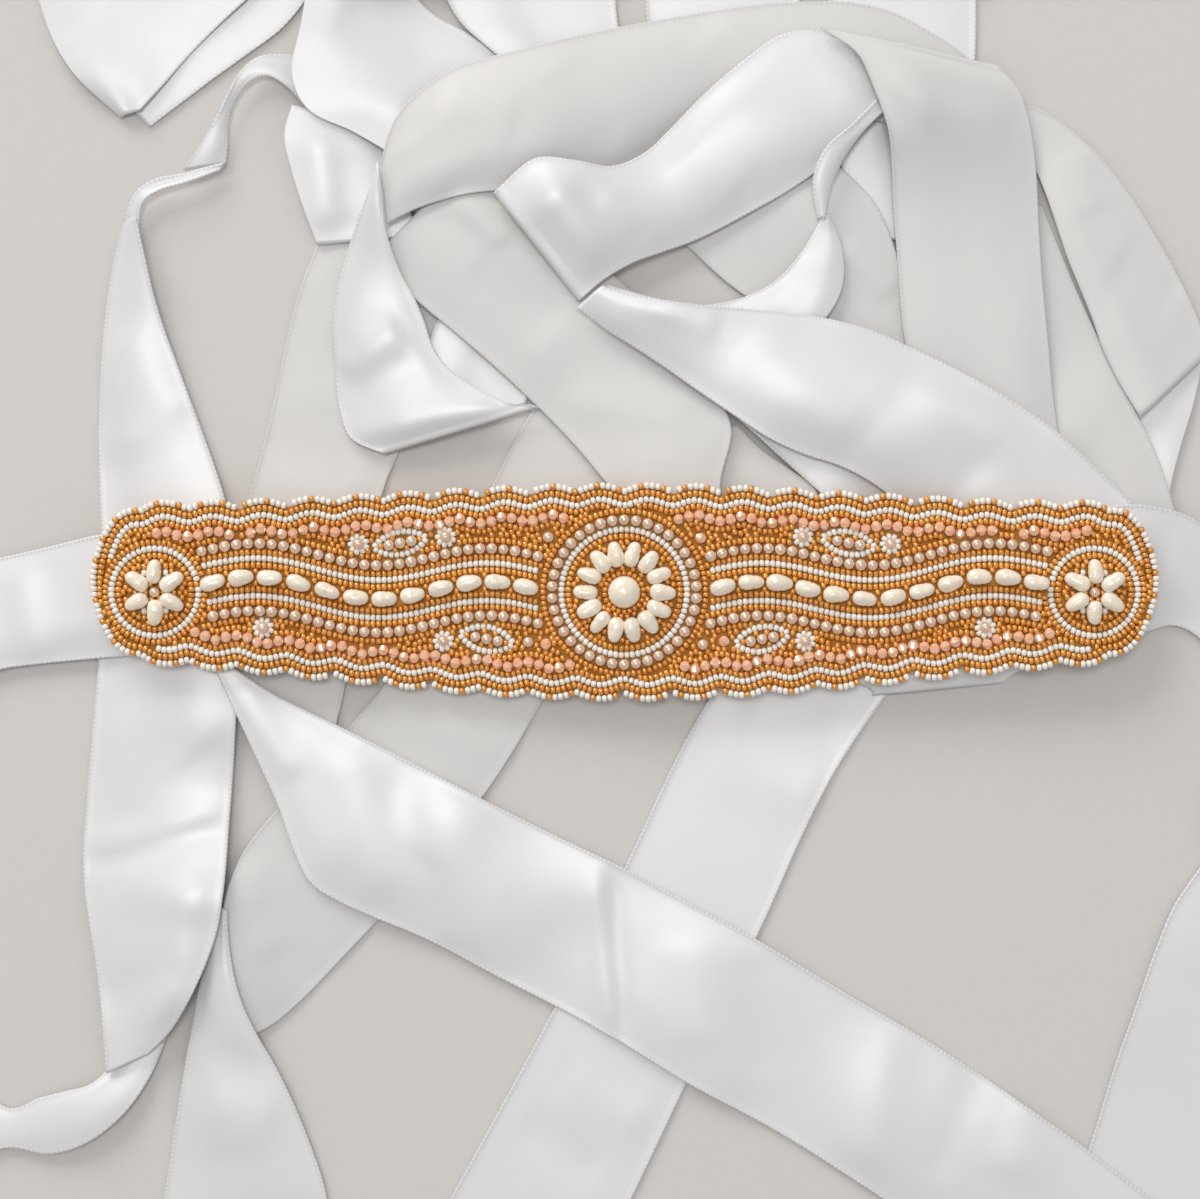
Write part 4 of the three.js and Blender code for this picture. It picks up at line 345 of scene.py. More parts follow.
# Creases of the cloth, each a soft trough (below 0) or ridge (above 0) along a line in plan.
# x1, y1, x2, y2: its ends. breadth: distance over which it dies away. height: at its middle.
CREASES = {
    "front_cross": (
        (12.3, -67.3, 16.4, -114.6, 3, -0.8), (9.5, -66.8, 13.4, -114.1, 2.8, 0.9),
        (-43.2, -40.6, -30.8, -86.4, 6, -0.6), (-55.3, -35.5, -45, -78.4, 7, 0.6),
        (-82.2, -20.6, -66.8, -46.3, 4, 0.5), (-23.1, -48.8, -36, -66.8, 8, 0.4),
        (77.1, -146.5, 87.4, -105.4, 7, 0.7), (113.1, -149.1, 125.9, -118.2, 6, 0.6),
        (95.1, -149.1, 109.2, -115.7, 5, -0.4), (48.8, -90, 51.4, -123.4, 8, -0.4),
        (33.4, -84.8, 36, -115.7, 7, 0.4),
    ),
    "far_left_drop": (
        (-122.3, -68.9, -84.3, -57.1, 3, -0.5), (-122.3, -64.2, -84.3, -52.4, 4, 0.6),
        (-118.2, -102.8, -95.1, -92.5, 5, -0.4), (-113.1, -72, -88.7, -77.1, 6, 0.4),
        (-105.4, -25.7, -92.5, -41.1, 9, 0.5),
    ),
    "far_left_rise": (
        (-113.1, 69.4, -95.1, 46.3, 6, 0.4), (-118.2, 30.8, -87.4, 41.1, 6, -0.4),
        (-115.7, 46.3, -102.8, 10.3, 7, 0.4),
    ),
    "left_under_run": (
        (-66.8, 87.4, -59.1, 46.3, 7, 0.5), (-77.1, 41.1, -51.4, 33.4, 7, -0.4),
        (-59.1, 77.1, -41.1, 61.7, 8, 0.4),
    ),
    "lower_right_run": (
        (36, -41.1, 69.4, -51.4, 8, 0.4), (0, -123.4, 23.1, -136.2, 7, 0.4),
        (-10.3, -133.6, 10.3, -149.1, 6, -0.3), (46.3, -25.7, 74.5, -36, 8, -0.3),
    ),
    "lower_cross": (
        (-46.3, -25.7, -10.3, -41.1, 6, 0.4), (-79.7, -77.1, -59.1, -100.2, 6, -0.4),
        (-82.2, -66.8, -72, -92.5, 6, 0.5), (-66.8, -64.2, -51.4, -77.1, 7, 0.4),
    ),
    "lower_left_drop": (
        (-92.5, -128.5, -72, -133.6, 8, 0.4), (-95.1, -107.9, -82.2, -143.9, 6, 0.4),
    ),
    "middle_run": (
        (-27.8, 103.8, -12.3, 90.5, 3.5, 0.6), (-30.8, 98.9, -15.4, 86.1, 4, -0.4),
        (-20.6, 87.4, 0, 69.4, 6, -0.5), (0, 51.4, 36, 46.3, 5, 0.5), (-10.3, 61.7, 20.6, 74.5, 8, 0.6),
    ),
    "right_sweep": (
        (46.3, 64.2, 77.1, 41.1, 7, 0.6), (82.2, 56.5, 113.1, 30.8, 8, -0.4),
        (102.8, 30.8, 128.5, 10.3, 6, 0.5), (20.6, 74.5, 41.1, 69.4, 5, 0.4),
    ),
    "upper_cross_band": (
        (-5.1, 103.8, 11.8, 85.3, 5, 0.6), (3.1, 107.2, 21.8, 90, 5, -0.5),
        (30.8, 115.7, 46.3, 102.8, 7, 0.5), (10.3, 102.8, 20.6, 92.5, 4, 0.3),
    ),
    "big_band": (
        (-30.8, 125.9, -10.3, 120.8, 6, 0.5), (0, 136.2, 15.4, 115.7, 7, -0.4),
        (36, 146.5, 56.5, 125.9, 8, 0.5), (-39.8, 118.2, -28.3, 102.8, 6, 0.5),
    ),
    "left_loop": (
        (-56.5, 58.1, -40.1, 69.9, 5, 1.1), (-54, 52.7, -36, 61.7, 5, -0.4),
        (-45, 43.7, -15.4, 51.4, 6, 0.5), (-55.3, 90, -54, 64.2, 5, 0.4),
    ),
    "right_drop": (
        (87.4, 123.4, 115.7, 120.8, 6, 0.4), (90, 90, 120.8, 87.4, 8, -0.3),
        (102.8, 133.6, 110.5, 77.1, 9, 0.4),
    ),
    "right_outer_loop": (
        (131.1, 115.7, 136.2, 97.7, 5, 0.5), (141.3, 87.4, 159.3, 77.1, 7, -0.4),
    ),
    "right_inner_run": (
        (120.8, 77.1, 133.6, 36, 6, 0.4),
    ),
    "crescent_face": (
        (36, 72.5, 61.7, 77.1, 4, 0.4),
    ),
    "back_panel": (
        (72.5, 91.7, 85.6, 77.6, 3, 0.5),
    ),
    "top_cross_panel": (
        (-65.3, 149.1, -36, 123.4, 8, 0.6), (-56.5, 151.6, -30.8, 138.8, 8, -0.4),
    ),
    "top_left_front": (
        (-128.5, 143.9, -105.4, 125.9, 6, 0.5), (-120.8, 151.6, -97.7, 138.8, 8, -0.4),
    ),
    "left_fold_panel": (
        (-62.2, 120.8, -59.1, 93.8, 4, 0.6), (-54, 115.7, -54, 92.5, 6, -0.4),
    ),
    "sash_band": (
        (-138.8, 10.3, -133.6, -16.7, 5, 0.5), (-128.5, 11.6, -122.1, -15.4, 7, -0.4),
        (154.2, 20.6, 151.6, -5.1, 4, -0.4),
    ),
}

# Sizes of the finer surfaces, in millimetres
FINE_ALONG = 1.4
FINE_ACROSS = 2.0
SHEET_GAP = 0.15
FLOOR_GAP = 0.05
LIFT_PASSES = 4
# Rows of points beside a woven edge, at these distances from it
EDGE_STEPS = (0.0, 0.35, 0.8, 1.3)
# The thicker line of a woven edge: its height, its distance from the side and its breadth
EDGE_BEAD = 0.12
EDGE_PLACE = 0.35
EDGE_SPREAD = 0.3
# Share of the cloth's thickness that is left at the very side
EDGE_SHARE = 0.2
# Added to the distance from a side that is a fold, so that no woven edge shows there
NO_EDGE = 30.0
WAVE_HEIGHT = 0.4
WAVE_LENGTHS = (30.0, 46.0, 70.0)
# Least flat width reckoned for a sheet, in metres
LEAST_FLAT = 0.01
# Least share of a stretch, and of the panel, over a piece that counts as one it lies on
CARRIER_SHARE = 0.08
PANEL_CARRIER_SHARE = 0.04
# Length in millimetres of one unit of the texture coordinates
UV_LENGTH = 100.0
BACKING_INSET = 0.7
BACKING_COLUMNS = 9
BACKING_RISE = 0.05
# Stretches that lie in shade. Their satin is a darker copy with painted shade in its colour, and it is also
# rougher and less glossy
SHADED_STRETCHES = (
    "lower_cross", "big_band", "middle_run", "right_outer_loop", "right_drop", "back_panel",
    "inner_right_sliver", "left_under_run", "right_inner_run",
)

# Beadwork, in millimetres. A bead's room is the radius that it keeps free of other beads.
SEED_LENGTH = 1.3
PEARL_RADIUS = 1.45
PEARL_ROOM = 1.38
CRYSTAL_LENGTH = 2.5
CRYSTAL_RADIUS = 1.5
LONG_SHAPES = 6
# Depth of the dimple where a bead's hole is
DIMPLE = 0.15
# Height of a bead's middle above the backing, as a share of its half height
SEED_LIFT = 0.9
BEAD_LIFT = 0.95
# Pitch and room of the seed beads in a row
SEED = (1.4, 0.66)
# Room of the long pearls of the middle flower, the stem and the tip flowers, and how far the two
# outer of the three circles that such a pearl keeps free are from its middle
PETAL_ROOM = 1.75
PETAL_REACH = 1.3
STEM_ROOM = 1.8
STEM_REACH = 1.6
TIP_PETAL_ROOM = 1.7
TIP_PETAL_REACH = 1.0
# Rows beside the stem and inside the rim: distance, bead, pitch and room
STEM_ROWS = (
    (3.0, "gold", *SEED), (4.8, "white", *SEED), (6.4, "gold", *SEED), (8.55, "pearl", 2.95, PEARL_ROOM),
    (10.7, "gold", *SEED),
)
RIM_ROWS = (
    (0.2, "white", 1.45, 0.70), (2.0, "gold", *SEED), (3.7, "white", *SEED), (5.3, "gold", *SEED),
    (7.35, "crystal", 2.75, 1.3), (9.4, "gold", *SEED),
)
# Rings round the middle flower: radius, bead, pitch and room
MIDDLE_RINGS = (
    (14.2, "gold", *SEED), (16.0, "white", *SEED), (18.4, "pearl", 3.05, PEARL_ROOM), (20.7, "gold", *SEED),
)
# The flower at each tip: its petals' ring, and the rings of seeds round it
TIP_PETAL_RING = 5.2
TIP_RINGS = ((9.3, "gold", *SEED), (11.1, "white", *SEED), (12.7, "gold", *SEED))
# Ovals and rings in the wide bays: distance from the middle, above or below, length and width
OVALS = (
    (57.0, 1, 15.0, 7.2), (67.6, 1, 5.4, 5.4), (45.4, 1, 5.4, 5.4), (35.0, -1, 15.0, 7.6),
    (46.0, -1, 5.4, 5.4), (91.5, -1, 5.4, 5.4),
)
# The grid that the open places are searched on: its pitch, half length, bottom and top
GROUND_GRID = 0.3
GROUND_END = 134.5
GROUND_LOW = -28.0
GROUND_HIGH = 30.0
# Room left free inside the rim, and how far round a bead the grid is changed
GROUND_RIM = 1.0
GROUND_REACH = 9.0
# Least room that takes a larger bead, and the room that such a bead keeps
LARGE_ROOM = 1.75
LARGE_KEEP = 1.4

# Camera, floor and lights. The camera looks straight down.
AIM_X = 10.28
AIM_Y = 0.13
CAMERA_HEIGHT = 620.0
FRAME_WIDTH = 308.4
SENSOR_WIDTH = 36.0
FLOOR_HALF = 3000.0
FLOOR_DROP = 0.2
WORLD_STRENGTH = 0.43
WORLD_COLOUR = (0.97, 0.975, 1.0)
# name, place in metres, size in metres, power in watts, colour
LIGHTS = (
    ("window", (-1.3, 2.5, 1.3), (2.0, 1.4), 56.0, (1.0, 0.985, 0.96)),
    ("sheen", (-0.1, 0.27, 1.7), (0.6, 0.4), 7.5, (1.0, 0.99, 0.98)),
    ("fill", (0.9, -0.6, 1.0), (1.0, 1.0), 0.8, (0.95, 0.97, 1.0)),
)


def hermite(values, position):
    """Smooth curve through rows of numbers; position is an array of places along them."""
    values = np.asarray(values, float)
    last = len(values) - 1
    k = np.minimum(np.floor(position).astype(int), last - 1)
    t = (position - k)[:, None]
    p0 = values[np.maximum(k - 1, 0)]
    p1 = values[k]
    p2 = values[k + 1]
    p3 = values[np.minimum(k + 2, last)]
    m1, m2 = (p2 - p0) / 2, (p3 - p1) / 2
    t2, t3 = t * t, t * t * t
    return (2 * t3 - 3 * t2 + 1) * p1 + (t3 - 2 * t2 + t) * m1 + (3 * t2 - 2 * t3) * p2 + (t3 - t2) * m2


def sections_of(stretch):
    """Sections spread evenly along a stretch: ax, ay, bx, by, first, crown, last, drop."""
    rows = []
    for x, y, turn, wide, first, crown, last in stretch.sections:
        half, angle = wide * RIBBON_WIDTH / 2, math.radians(turn)
        dx, dy = half * math.cos(angle), half * math.sin(angle)
        rows.append([x - dx, y - dy, x + dx, y + dy, first, crown, last])
    middles = np.array([section[:2] for section in stretch.sections])
    along = np.concatenate([[0], np.cumsum(np.hypot(*np.diff(middles, axis=0).T))])
    count = max(4, int(math.floor(along[-1] / stretch.step + 0.5)))
    here = along[-1] * np.arange(count + 1) / count
    k = np.clip(np.searchsorted(along, here, side="left") - 1, 0, len(rows) - 2)
    made = hermite(rows, k + (here - along[k]) / (along[k + 1] - along[k]))
    made = np.hstack([made, np.zeros((len(made), 1))])
    for at_end, radius in ((False, stretch.fold_start), (True, stretch.fold_end)):
        if not radius:
            continue
        edge, inner = (made[-1], made[-2]) if at_end else (made[0], made[1])
        ahead = (edge[:2] + edge[2:4] - inner[:2] - inner[2:4]) / 2
        ahead /= np.linalg.norm(ahead)
        for step in range(1, FOLD_STEPS + 1):
            angle = step / FOLD_STEPS * FOLD_ANGLE
            row = edge.copy()
            row[:4] += np.tile(ahead, 2) * radius * math.sin(angle)
            row[7] = radius * (1 - math.cos(angle))
            made = np.vstack([made, row]) if at_end else np.vstack([row, made])
    return made


class LaidMap:
    """Height of everything laid so far, on a square grid of points."""

    def __init__(self):
        side = int(round(2 * MAP_HALF / MAP_CELL)) + 1
        self.height = np.zeros((side, side))

    def cell(self, value):
        return np.floor((value + MAP_HALF) / MAP_CELL + 0.5).astype(int)

    def at(self, x, y):
        return self.height[self.cell(y), self.cell(x)]

    def raise_to(self, x, y, z):
        column, row = self.cell(x), self.cell(y)
        for down, over in itertools.product((-1, 0, 1), repeat=2):
            np.maximum.at(self.height, (row + down, column + over), z)


def grid_normals(points):
    """Unit normals, upwards, of a grid of points."""
    wider = np.pad(points, ((1, 1), (1, 1), (0, 0)), mode="edge")
    n = np.cross(wider[2:, 1:-1] - wider[:-2, 1:-1], wider[1:-1, 2:] - wider[1:-1, :-2])
    n /= np.maximum(np.linalg.norm(n, axis=2, keepdims=True), 1e-12)
    return np.where(n[..., 2:] < 0, -n, n)


def grid_triangles(along, across):
    k = (np.arange(along)[:, None] * (across + 1) + np.arange(across)[None]).ravel()
    w = across + 1
    return np.vstack([np.stack([k, k + 1, k + w], 1), np.stack([k + 1, k + w + 1, k + w], 1)])


def samples_of(corners):
    """Evenly spread points of each triangle."""
    sides = corners - np.roll(corners, -1, axis=1)
    longest = np.linalg.norm(sides, axis=2).max()
    steps = max(1, math.ceil(longest / SAMPLE_STEP))
    p, q = np.meshgrid(np.arange(steps + 1), np.arange(steps + 1), indexing="ij")
    keep = p + q <= steps
    wa, wb = p[keep] / steps, q[keep] / steps
    weights = np.stack([wa, wb, 1 - wa - wb], 1)
    return np.einsum("kc,tcd->tkd", weights, corners)


def settle(points, laid):
    """Lowers a grid of points on to what is already laid. Returns the middle and the two faces."""
    along, across = points.shape[0] - 1, points.shape[1] - 1
    triangles = grid_triangles(along, across)
    shape = points[..., 2].copy()
    lift = np.zeros_like(shape)

    def place():
        middle = points.copy()
        middle[..., 2] = shape + lift + CLOTH / 2
        normals = grid_normals(middle)
        return middle, middle + normals * CLOTH / 2, middle - normals * CLOTH / 2

    def clear(made):
        for _ in range(CLEAR_PASSES):
            sample = samples_of(made[2].reshape(-1, 3)[triangles])
            below = laid.at(sample[..., 0], sample[..., 1])
            wanted = np.where(below > 0, below + LAYER_GAP, 0)
            miss = np.maximum((wanted - sample[..., 2]).max(axis=1), 0)
            if miss.max() < CLEAR_ERROR:
                break
            need = np.zeros(lift.size)
            for corner in range(3):
                np.maximum.at(need, triangles[:, corner], miss)
            lift.reshape(-1)[:] += need
            made = place()
        return made

    clear(place())
    for _ in range(SMOOTH_PASSES):
        ends, sides = lift.copy(), lift.copy()
        ends[1:-1] = (lift[:-2] + lift[2:]) / 2
        sides[:, 1:-1] = (lift[:, :-2] + lift[:, 2:]) / 2
        lift[:] = np.maximum(lift, (ends + sides) / 2 - SMOOTH_DROP)
    made = clear(place())
    sample = samples_of(made[1].reshape(-1, 3)[triangles]).reshape(-1, 3)
    laid.raise_to(sample[:, 0], sample[:, 1], sample[:, 2])
    return made


def panel_middle(t):
    return PANEL_BOW * t * t


def panel_half(t):
    t = abs(t)
    swell = (PANEL_MIDDLE_HALF - PANEL_SIDE_HALF) * math.cos(t * math.pi / 2) ** 2
    past = max(0.0, (t - 1 + PANEL_ROUND_SHARE) / PANEL_ROUND_SHARE)
    round_off = math.sqrt(max(0.0, 1 - past * past))
    wave = SCALLOP_DEPTH * abs(math.sin(t * math.pi * SCALLOPS_EACH_SIDE))
    return (PANEL_SIDE_HALF + swell) * round_off + wave * min(1.0, round_off * 1.5) - SCALLOP_DEPTH / 2


def stem_middle(x):
    t = 2 * x / PANEL_LENGTH
    return panel_middle(t) + STEM_WAVE * math.sin((abs(x) - ROSETTE_RADIUS) / STEM_WAVE_LENGTH)


def lay_everything():
    """The middle surface of each stretch of ribbon, and the underside of the panel."""
    laid = LaidMap()
    middles = {}
    for stretch in STRETCHES:
        made = sections_of(stretch)
        v = np.arange(FACETS_ACROSS + 1) / FACETS_ACROSS
        a, b = made[:, None, :2], made[:, None, 2:4]
        plan = a + (b - a) * v[None, :, None]
        first, crown, last, drop = (made[:, k, None] for k in (4, 5, 6, 7))
        rise = first * (1 - v) + last * v + crown * 4 * v * (1 - v) - drop
        middles[stretch.name] = settle(np.dstack([plan, rise]), laid)[0]
    t = -1 + 2 * np.arange(PANEL_FACETS_ALONG + 1) / PANEL_FACETS_ALONG
    half = np.array([max(END_HALF, panel_half(s)) for s in t])
    x = PANEL_CENTRE_X + t * PANEL_LENGTH / 2
    middle = PANEL_CENTRE_Y + panel_middle(t)
    rim = np.stack([np.stack([x, middle + side * half, 0 * x], 1) for side in (-1, 1)], 1)
    return middles, settle(rim, laid)[2]


MIDDLES, PANEL_UNDER = lay_everything()


def panel_base(x, y):
    """Height of the backing's top at a point of the panel's own frame, in millimetres."""
    place = (x / PANEL_LENGTH + 0.5) * PANEL_FACETS_ALONG
    k = int(min(max(math.floor(place), 0), PANEL_FACETS_ALONG - 1))
    f = min(max(place - k, 0.0), 1.0)
    a = PANEL_UNDER[k] * (1 - f) + PANEL_UNDER[k + 1] * f
    across = (y + PANEL_CENTRE_Y - a[0, 1]) / (a[1, 1] - a[0, 1])
    return a[0, 2] + (a[1, 2] - a[0, 2]) * min(max(across, 0.0), 1.0) + PANEL_BACKING


# Meshes


def mesh_object(name, verts, faces, uvs=None, smooth=True):
    """A mesh object from points in millimetres; faces is an array of quads or triangles."""
    mesh = bpy.data.meshes.new(name)
    verts = np.asarray(verts, float) * MM
    faces = np.asarray(faces, int)
    size = faces.shape[1]
    mesh.vertices.add(len(verts))
    mesh.vertices.foreach_set("co", verts.ravel())
    mesh.loops.add(faces.size)
    mesh.loops.foreach_set("vertex_index", faces.ravel())
    mesh.polygons.add(len(faces))
    mesh.polygons.foreach_set("loop_start", np.arange(len(faces)) * size)
    mesh.polygons.foreach_set("use_smooth", np.full(len(faces), smooth))
    if uvs is not None:
        layer = mesh.uv_layers.new(name="UVMap")
        layer.data.foreach_set("uv", np.asarray(uvs, float)[faces.ravel()].ravel())
    mesh.update(calc_edges=True)
    mesh.validate()
    made = bpy.data.objects.new(name, mesh)
    bpy.context.collection.objects.link(made)
    return made


def finish_piece(obj, material, replaces=()):
    obj.data.materials.append(material)
    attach(obj, "root")
    if replaces:
        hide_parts(*replaces)
    return obj


def crease_height(name, x, y):
    """Soft troughs and ridges at points in plan."""
    height = np.zeros_like(x)
    for x1, y1, x2, y2, breadth, tall in CREASES.get(name, ()):
        length = math.hypot(x2 - x1, y2 - y1)
        ux, uy = (x2 - x1) / length, (y2 - y1) / length
        along = ((x - x1) * ux + (y - y1) * uy) / length
        aside = (x - x1) * uy - (y - y1) * ux
        inside = np.clip(1 - np.abs(2 * along - 1), 0, 1)
        height += tall * np.exp(-((aside / breadth) ** 2)) * np.clip(inside * 3, 0, 1)
    return height


def soft_wave(name, x, y):
    """Low, slow unevenness of loose satin, different on each stretch."""
    rng = np.random.default_rng(sum(ord(letter) for letter in name))
    height = np.zeros_like(x)
    for length in WAVE_LENGTHS:
        angle, phase = rng.uniform(0, math.pi), rng.uniform(0, 2 * math.pi)
        across = x * math.cos(angle) + y * math.sin(angle)
        height += WAVE_HEIGHT * length / WAVE_LENGTHS[-1] * np.sin(2 * math.pi * across / length + phase)
    return height


def carriers():
    """For each stretch and for the panel, the pieces that it mostly lies on."""
    laid = LaidMap()
    owner = np.zeros(laid.height.shape, int)
    under = {}
    for number, stretch in enumerate(STRETCHES):
        grid = MIDDLES[stretch.name]
        rows = hermite(grid.reshape(len(grid), -1), np.linspace(0, len(grid) - 1, 6 * len(grid)))
        rows = rows.reshape(len(rows), -1, 3).transpose(1, 0, 2)
        fine = hermite(rows.reshape(len(rows), -1), np.linspace(0, len(rows) - 1, 40)).reshape(-1, 3)
        cells = laid.cell(fine[:, 1]), laid.cell(fine[:, 0])
        counts = np.bincount(owner[cells], minlength=len(STRETCHES) + 1)
        best = [int(k) for k in np.argsort(-counts)[:3] if counts[k] > CARRIER_SHARE * len(fine)]
        under[stretch.name] = [STRETCHES[k - 1].name + "_satin" if k else "floor" for k in best]
        owner[cells] = number + 1
    lower, upper = PANEL_UNDER[:, :1, :2], PANEL_UNDER[:, 1:, :2]
    plan = lower + (upper - lower) * np.linspace(0, 1, 60)[None, :, None]
    cells = laid.cell(plan[..., 1]), laid.cell(plan[..., 0])
    counts = np.bincount(owner[cells].ravel(), minlength=len(STRETCHES) + 1)
    best = [int(k) for k in np.argsort(-counts) if counts[k] > PANEL_CARRIER_SHARE * counts.sum()]
    under["beaded_panel"] = [STRETCHES[k - 1].name + "_satin" for k in best if k]
    return under


DRESSED = LaidMap()


def fine_surface(name, satin):
    """A stretch's middle surface with small facets and its creases, for cloth of thickness satin."""
    coarse = MIDDLES[name]
    along, across = coarse.shape[0] - 1, coarse.shape[1] - 1
    lengths = np.linalg.norm(np.diff(coarse[:, across // 2], axis=0), axis=1)
    count = max(12, int(math.ceil(lengths.sum() / FINE_ALONG)))
    travelled = np.concatenate([[0], np.cumsum(lengths)])
    places = np.interp(np.linspace(0, travelled[-1], count + 1), travelled, np.arange(along + 1))
    rows = hermite(coarse.reshape(along + 1, -1), places).reshape(count + 1, across + 1, 3)
    width = np.linalg.norm(np.diff(coarse, axis=1), axis=2).sum(axis=1).max()
    edge = np.array(EDGE_STEPS) / max(width, 8.0)
    inner = np.linspace(edge[-1], 1 - edge[-1], max(6, int(width / FINE_ACROSS)) + 1)
    v = np.concatenate([edge[:-1], inner, 1 - edge[-2::-1]])
    turned = rows.transpose(1, 0, 2).reshape(across + 1, -1)
    fine = hermite(turned, v * across).reshape(len(v), count + 1, 3).transpose(1, 0, 2).copy()
    fine[..., 2] += crease_height(name, fine[..., 0], fine[..., 1])
    free = np.clip((fine[..., 2] - CLOTH / 2) / 1.5, 0, 1)
    fine[..., 2] += soft_wave(name, fine[..., 0], fine[..., 1]) * free
    below = DRESSED.at(fine[..., 0], fine[..., 1])
    lift = np.maximum(np.where(below > 0, below + SHEET_GAP, FLOOR_GAP) + satin / 2 - fine[..., 2], 0)
    for _ in range(LIFT_PASSES):
        spread = lift.copy()
        spread[1:-1] = np.maximum(spread[1:-1], (lift[:-2] + lift[2:]) / 2)
        spread[:, 1:-1] = np.maximum(spread[:, 1:-1], (lift[:, :-2] + lift[:, 2:]) / 2)
        lift = spread
    fine[..., 2] += lift
    DRESSED.raise_to(fine[..., 0].ravel(), fine[..., 1].ravel(), fine[..., 2].ravel() + satin / 2)
    return fine


def closed_shell(name, upper, under, uvs=None, smooth=True):
    """A closed sheet between two grids of points."""
    n_along, n_across = upper.shape[:2]
    count = n_along * n_across
    k = (np.arange(n_along - 1)[:, None] * n_across + np.arange(n_across - 1)[None]).ravel()
    quads = [np.stack([k, k + n_across, k + n_across + 1, k + 1], 1)]
    quads.append(np.stack([count + k, count + k + 1, count + k + n_across + 1, count + k + n_across], 1))
    i = np.arange(n_along - 1) * n_across
    j = i + n_across - 1
    quads.append(np.stack([i, count + i, count + i + n_across, i + n_across], 1))
    quads.append(np.stack([j, j + n_across, count + j + n_across, count + j], 1))
    i = np.arange(n_across - 1)
    j = (n_along - 1) * n_across + i
    quads.append(np.stack([i, i + 1, count + i + 1, count + i], 1))
    quads.append(np.stack([j, count + j, count + j + 1, j + 1], 1))
    faces = np.vstack(quads)
    verts = np.concatenate([upper.reshape(-1, 3), under.reshape(-1, 3)])
    if signed_volume(verts, faces) < 0:
        faces = faces[:, ::-1]
    return mesh_object(name, verts, faces, uvs, smooth)


def ribbon_shell(stretch, satin):
    """A closed thin shell of one stretch, with a slightly thicker woven edge, its flat size and area."""
    fine = fine_surface(stretch.name, satin)
    n_along, n_across = fine.shape[:2]
    normals = grid_normals(fine)
    step = np.linalg.norm(np.diff(fine, axis=1), axis=2)
    from_first = np.concatenate([np.zeros((n_along, 1)), np.cumsum(step, axis=1)], axis=1)
    from_last = from_first[:, -1:] - from_first
    run = np.linalg.norm(np.diff(fine, axis=0), axis=2).mean(axis=1)
    distance = np.concatenate([[0], np.cumsum(run)])[:, None] + np.zeros((1, n_across))
    first_woven, last_woven = stretch.edges
    near = np.minimum(from_first + NO_EDGE * (not first_woven), from_last + NO_EDGE * (not last_woven))
    half = satin / 2 + np.exp(-(((near - EDGE_PLACE) / EDGE_SPREAD) ** 2)) * EDGE_BEAD
    half[:, 0] = half[:, -1] = satin * EDGE_SHARE
    out = normals * half[..., None]
    uv = np.stack([distance / UV_LENGTH, near / UV_LENGTH], -1).reshape(-1, 2)
    uvs = np.concatenate([uv, uv])
    made = closed_shell(stretch.name + "_satin", fine + out, fine - out, uvs)
    area = (run[:, None] * ((step[1:] + step[:-1]) / 2)).sum() * MM * MM
    length = run.sum() * MM
    widest = from_first[:, -1].max() * MM
    return made, (max(widest, LEAST_FLAT), length), area


def signed_volume(verts, faces):
    """Six times the volume inside a closed surface of quads."""
    total = 0.0
    for a, b in ((1, 2), (2, 3)):
        p, q, r = verts[faces[:, 0]], verts[faces[:, a]], verts[faces[:, b]]
        total += np.einsum("ij,ij->i", p, np.cross(q, r)).sum()
    return total


def backing_shell():
    """The stiff backing that the beads are sewn on, a plain slab, with its flat size and area."""
    top = []
    for first, last in PANEL_UNDER:
        side = (last - first) / np.linalg.norm(last - first)
        first, last = first + side * BACKING_INSET, last - side * BACKING_INSET
        v = np.linspace(0, 1, BACKING_COLUMNS)[:, None]
        top.append(first + (last - first) * v + np.array([0, 0, PANEL_BACKING]))
    top = np.array(top)
    below = top.copy()
    below[..., 2] -= PANEL_BACKING - BACKING_RISE
    widths = np.linalg.norm(top[:, -1] - top[:, 0], axis=1)
    steps = np.linalg.norm(np.diff(top[:, BACKING_COLUMNS // 2], axis=0), axis=1)
    area = (steps * (widths[1:] + widths[:-1]) / 2).sum() * MM * MM
    made = closed_shell("panel_backing", top, below, smooth=False)
    return made, (widths.max() * MM, steps.sum() * MM), area


# Beads. Each kind is one small shape; a placing is x, y, angle in the panel's own frame.


def turned_shape(profile, around, ridges=0.0, ridge_count=0):
    """A closed shape turned round the X axis from (x, radius) pairs, with a dimple at each end."""
    verts, faces = [], []
    angles = np.arange(around) * 2 * math.pi / around
    for x, radius in profile:
        for angle in angles:
            r = radius * (1 + ridges * math.cos(ridge_count * angle))
            verts.append((x, r * math.cos(angle), r * math.sin(angle)))
    for ring in range(len(profile) - 1):
        for k in range(around):
            a, b = ring * around + k, ring * around + (k + 1) % around
            faces += [(a, b, b + around), (a, b + around, a + around)]
    first, last = len(verts), len(verts) + 1
    verts += [(profile[0][0] + DIMPLE, 0, 0), (profile[-1][0] - DIMPLE, 0, 0)]
    base = (len(profile) - 1) * around
    for k in range(around):
        faces.append((first, (k + 1) % around, k))
        faces.append((last, base + k, base + (k + 1) % around))
    return np.array(verts, float), np.array(faces)


def seed_shape(length, radius):
    h = length / 2
    profile = [(-h, radius * 0.62), (-h * 0.6, radius * 0.95), (0, radius)]
    profile += [(-x, r) for x, r in profile[-2::-1]]
    return turned_shape(profile, 7)


def round_shape(radius, around=14, rings=9):
    angles = np.linspace(0.12, math.pi - 0.12, rings)
    return turned_shape([(-radius * math.cos(a), radius * math.sin(a)) for a in angles], around)


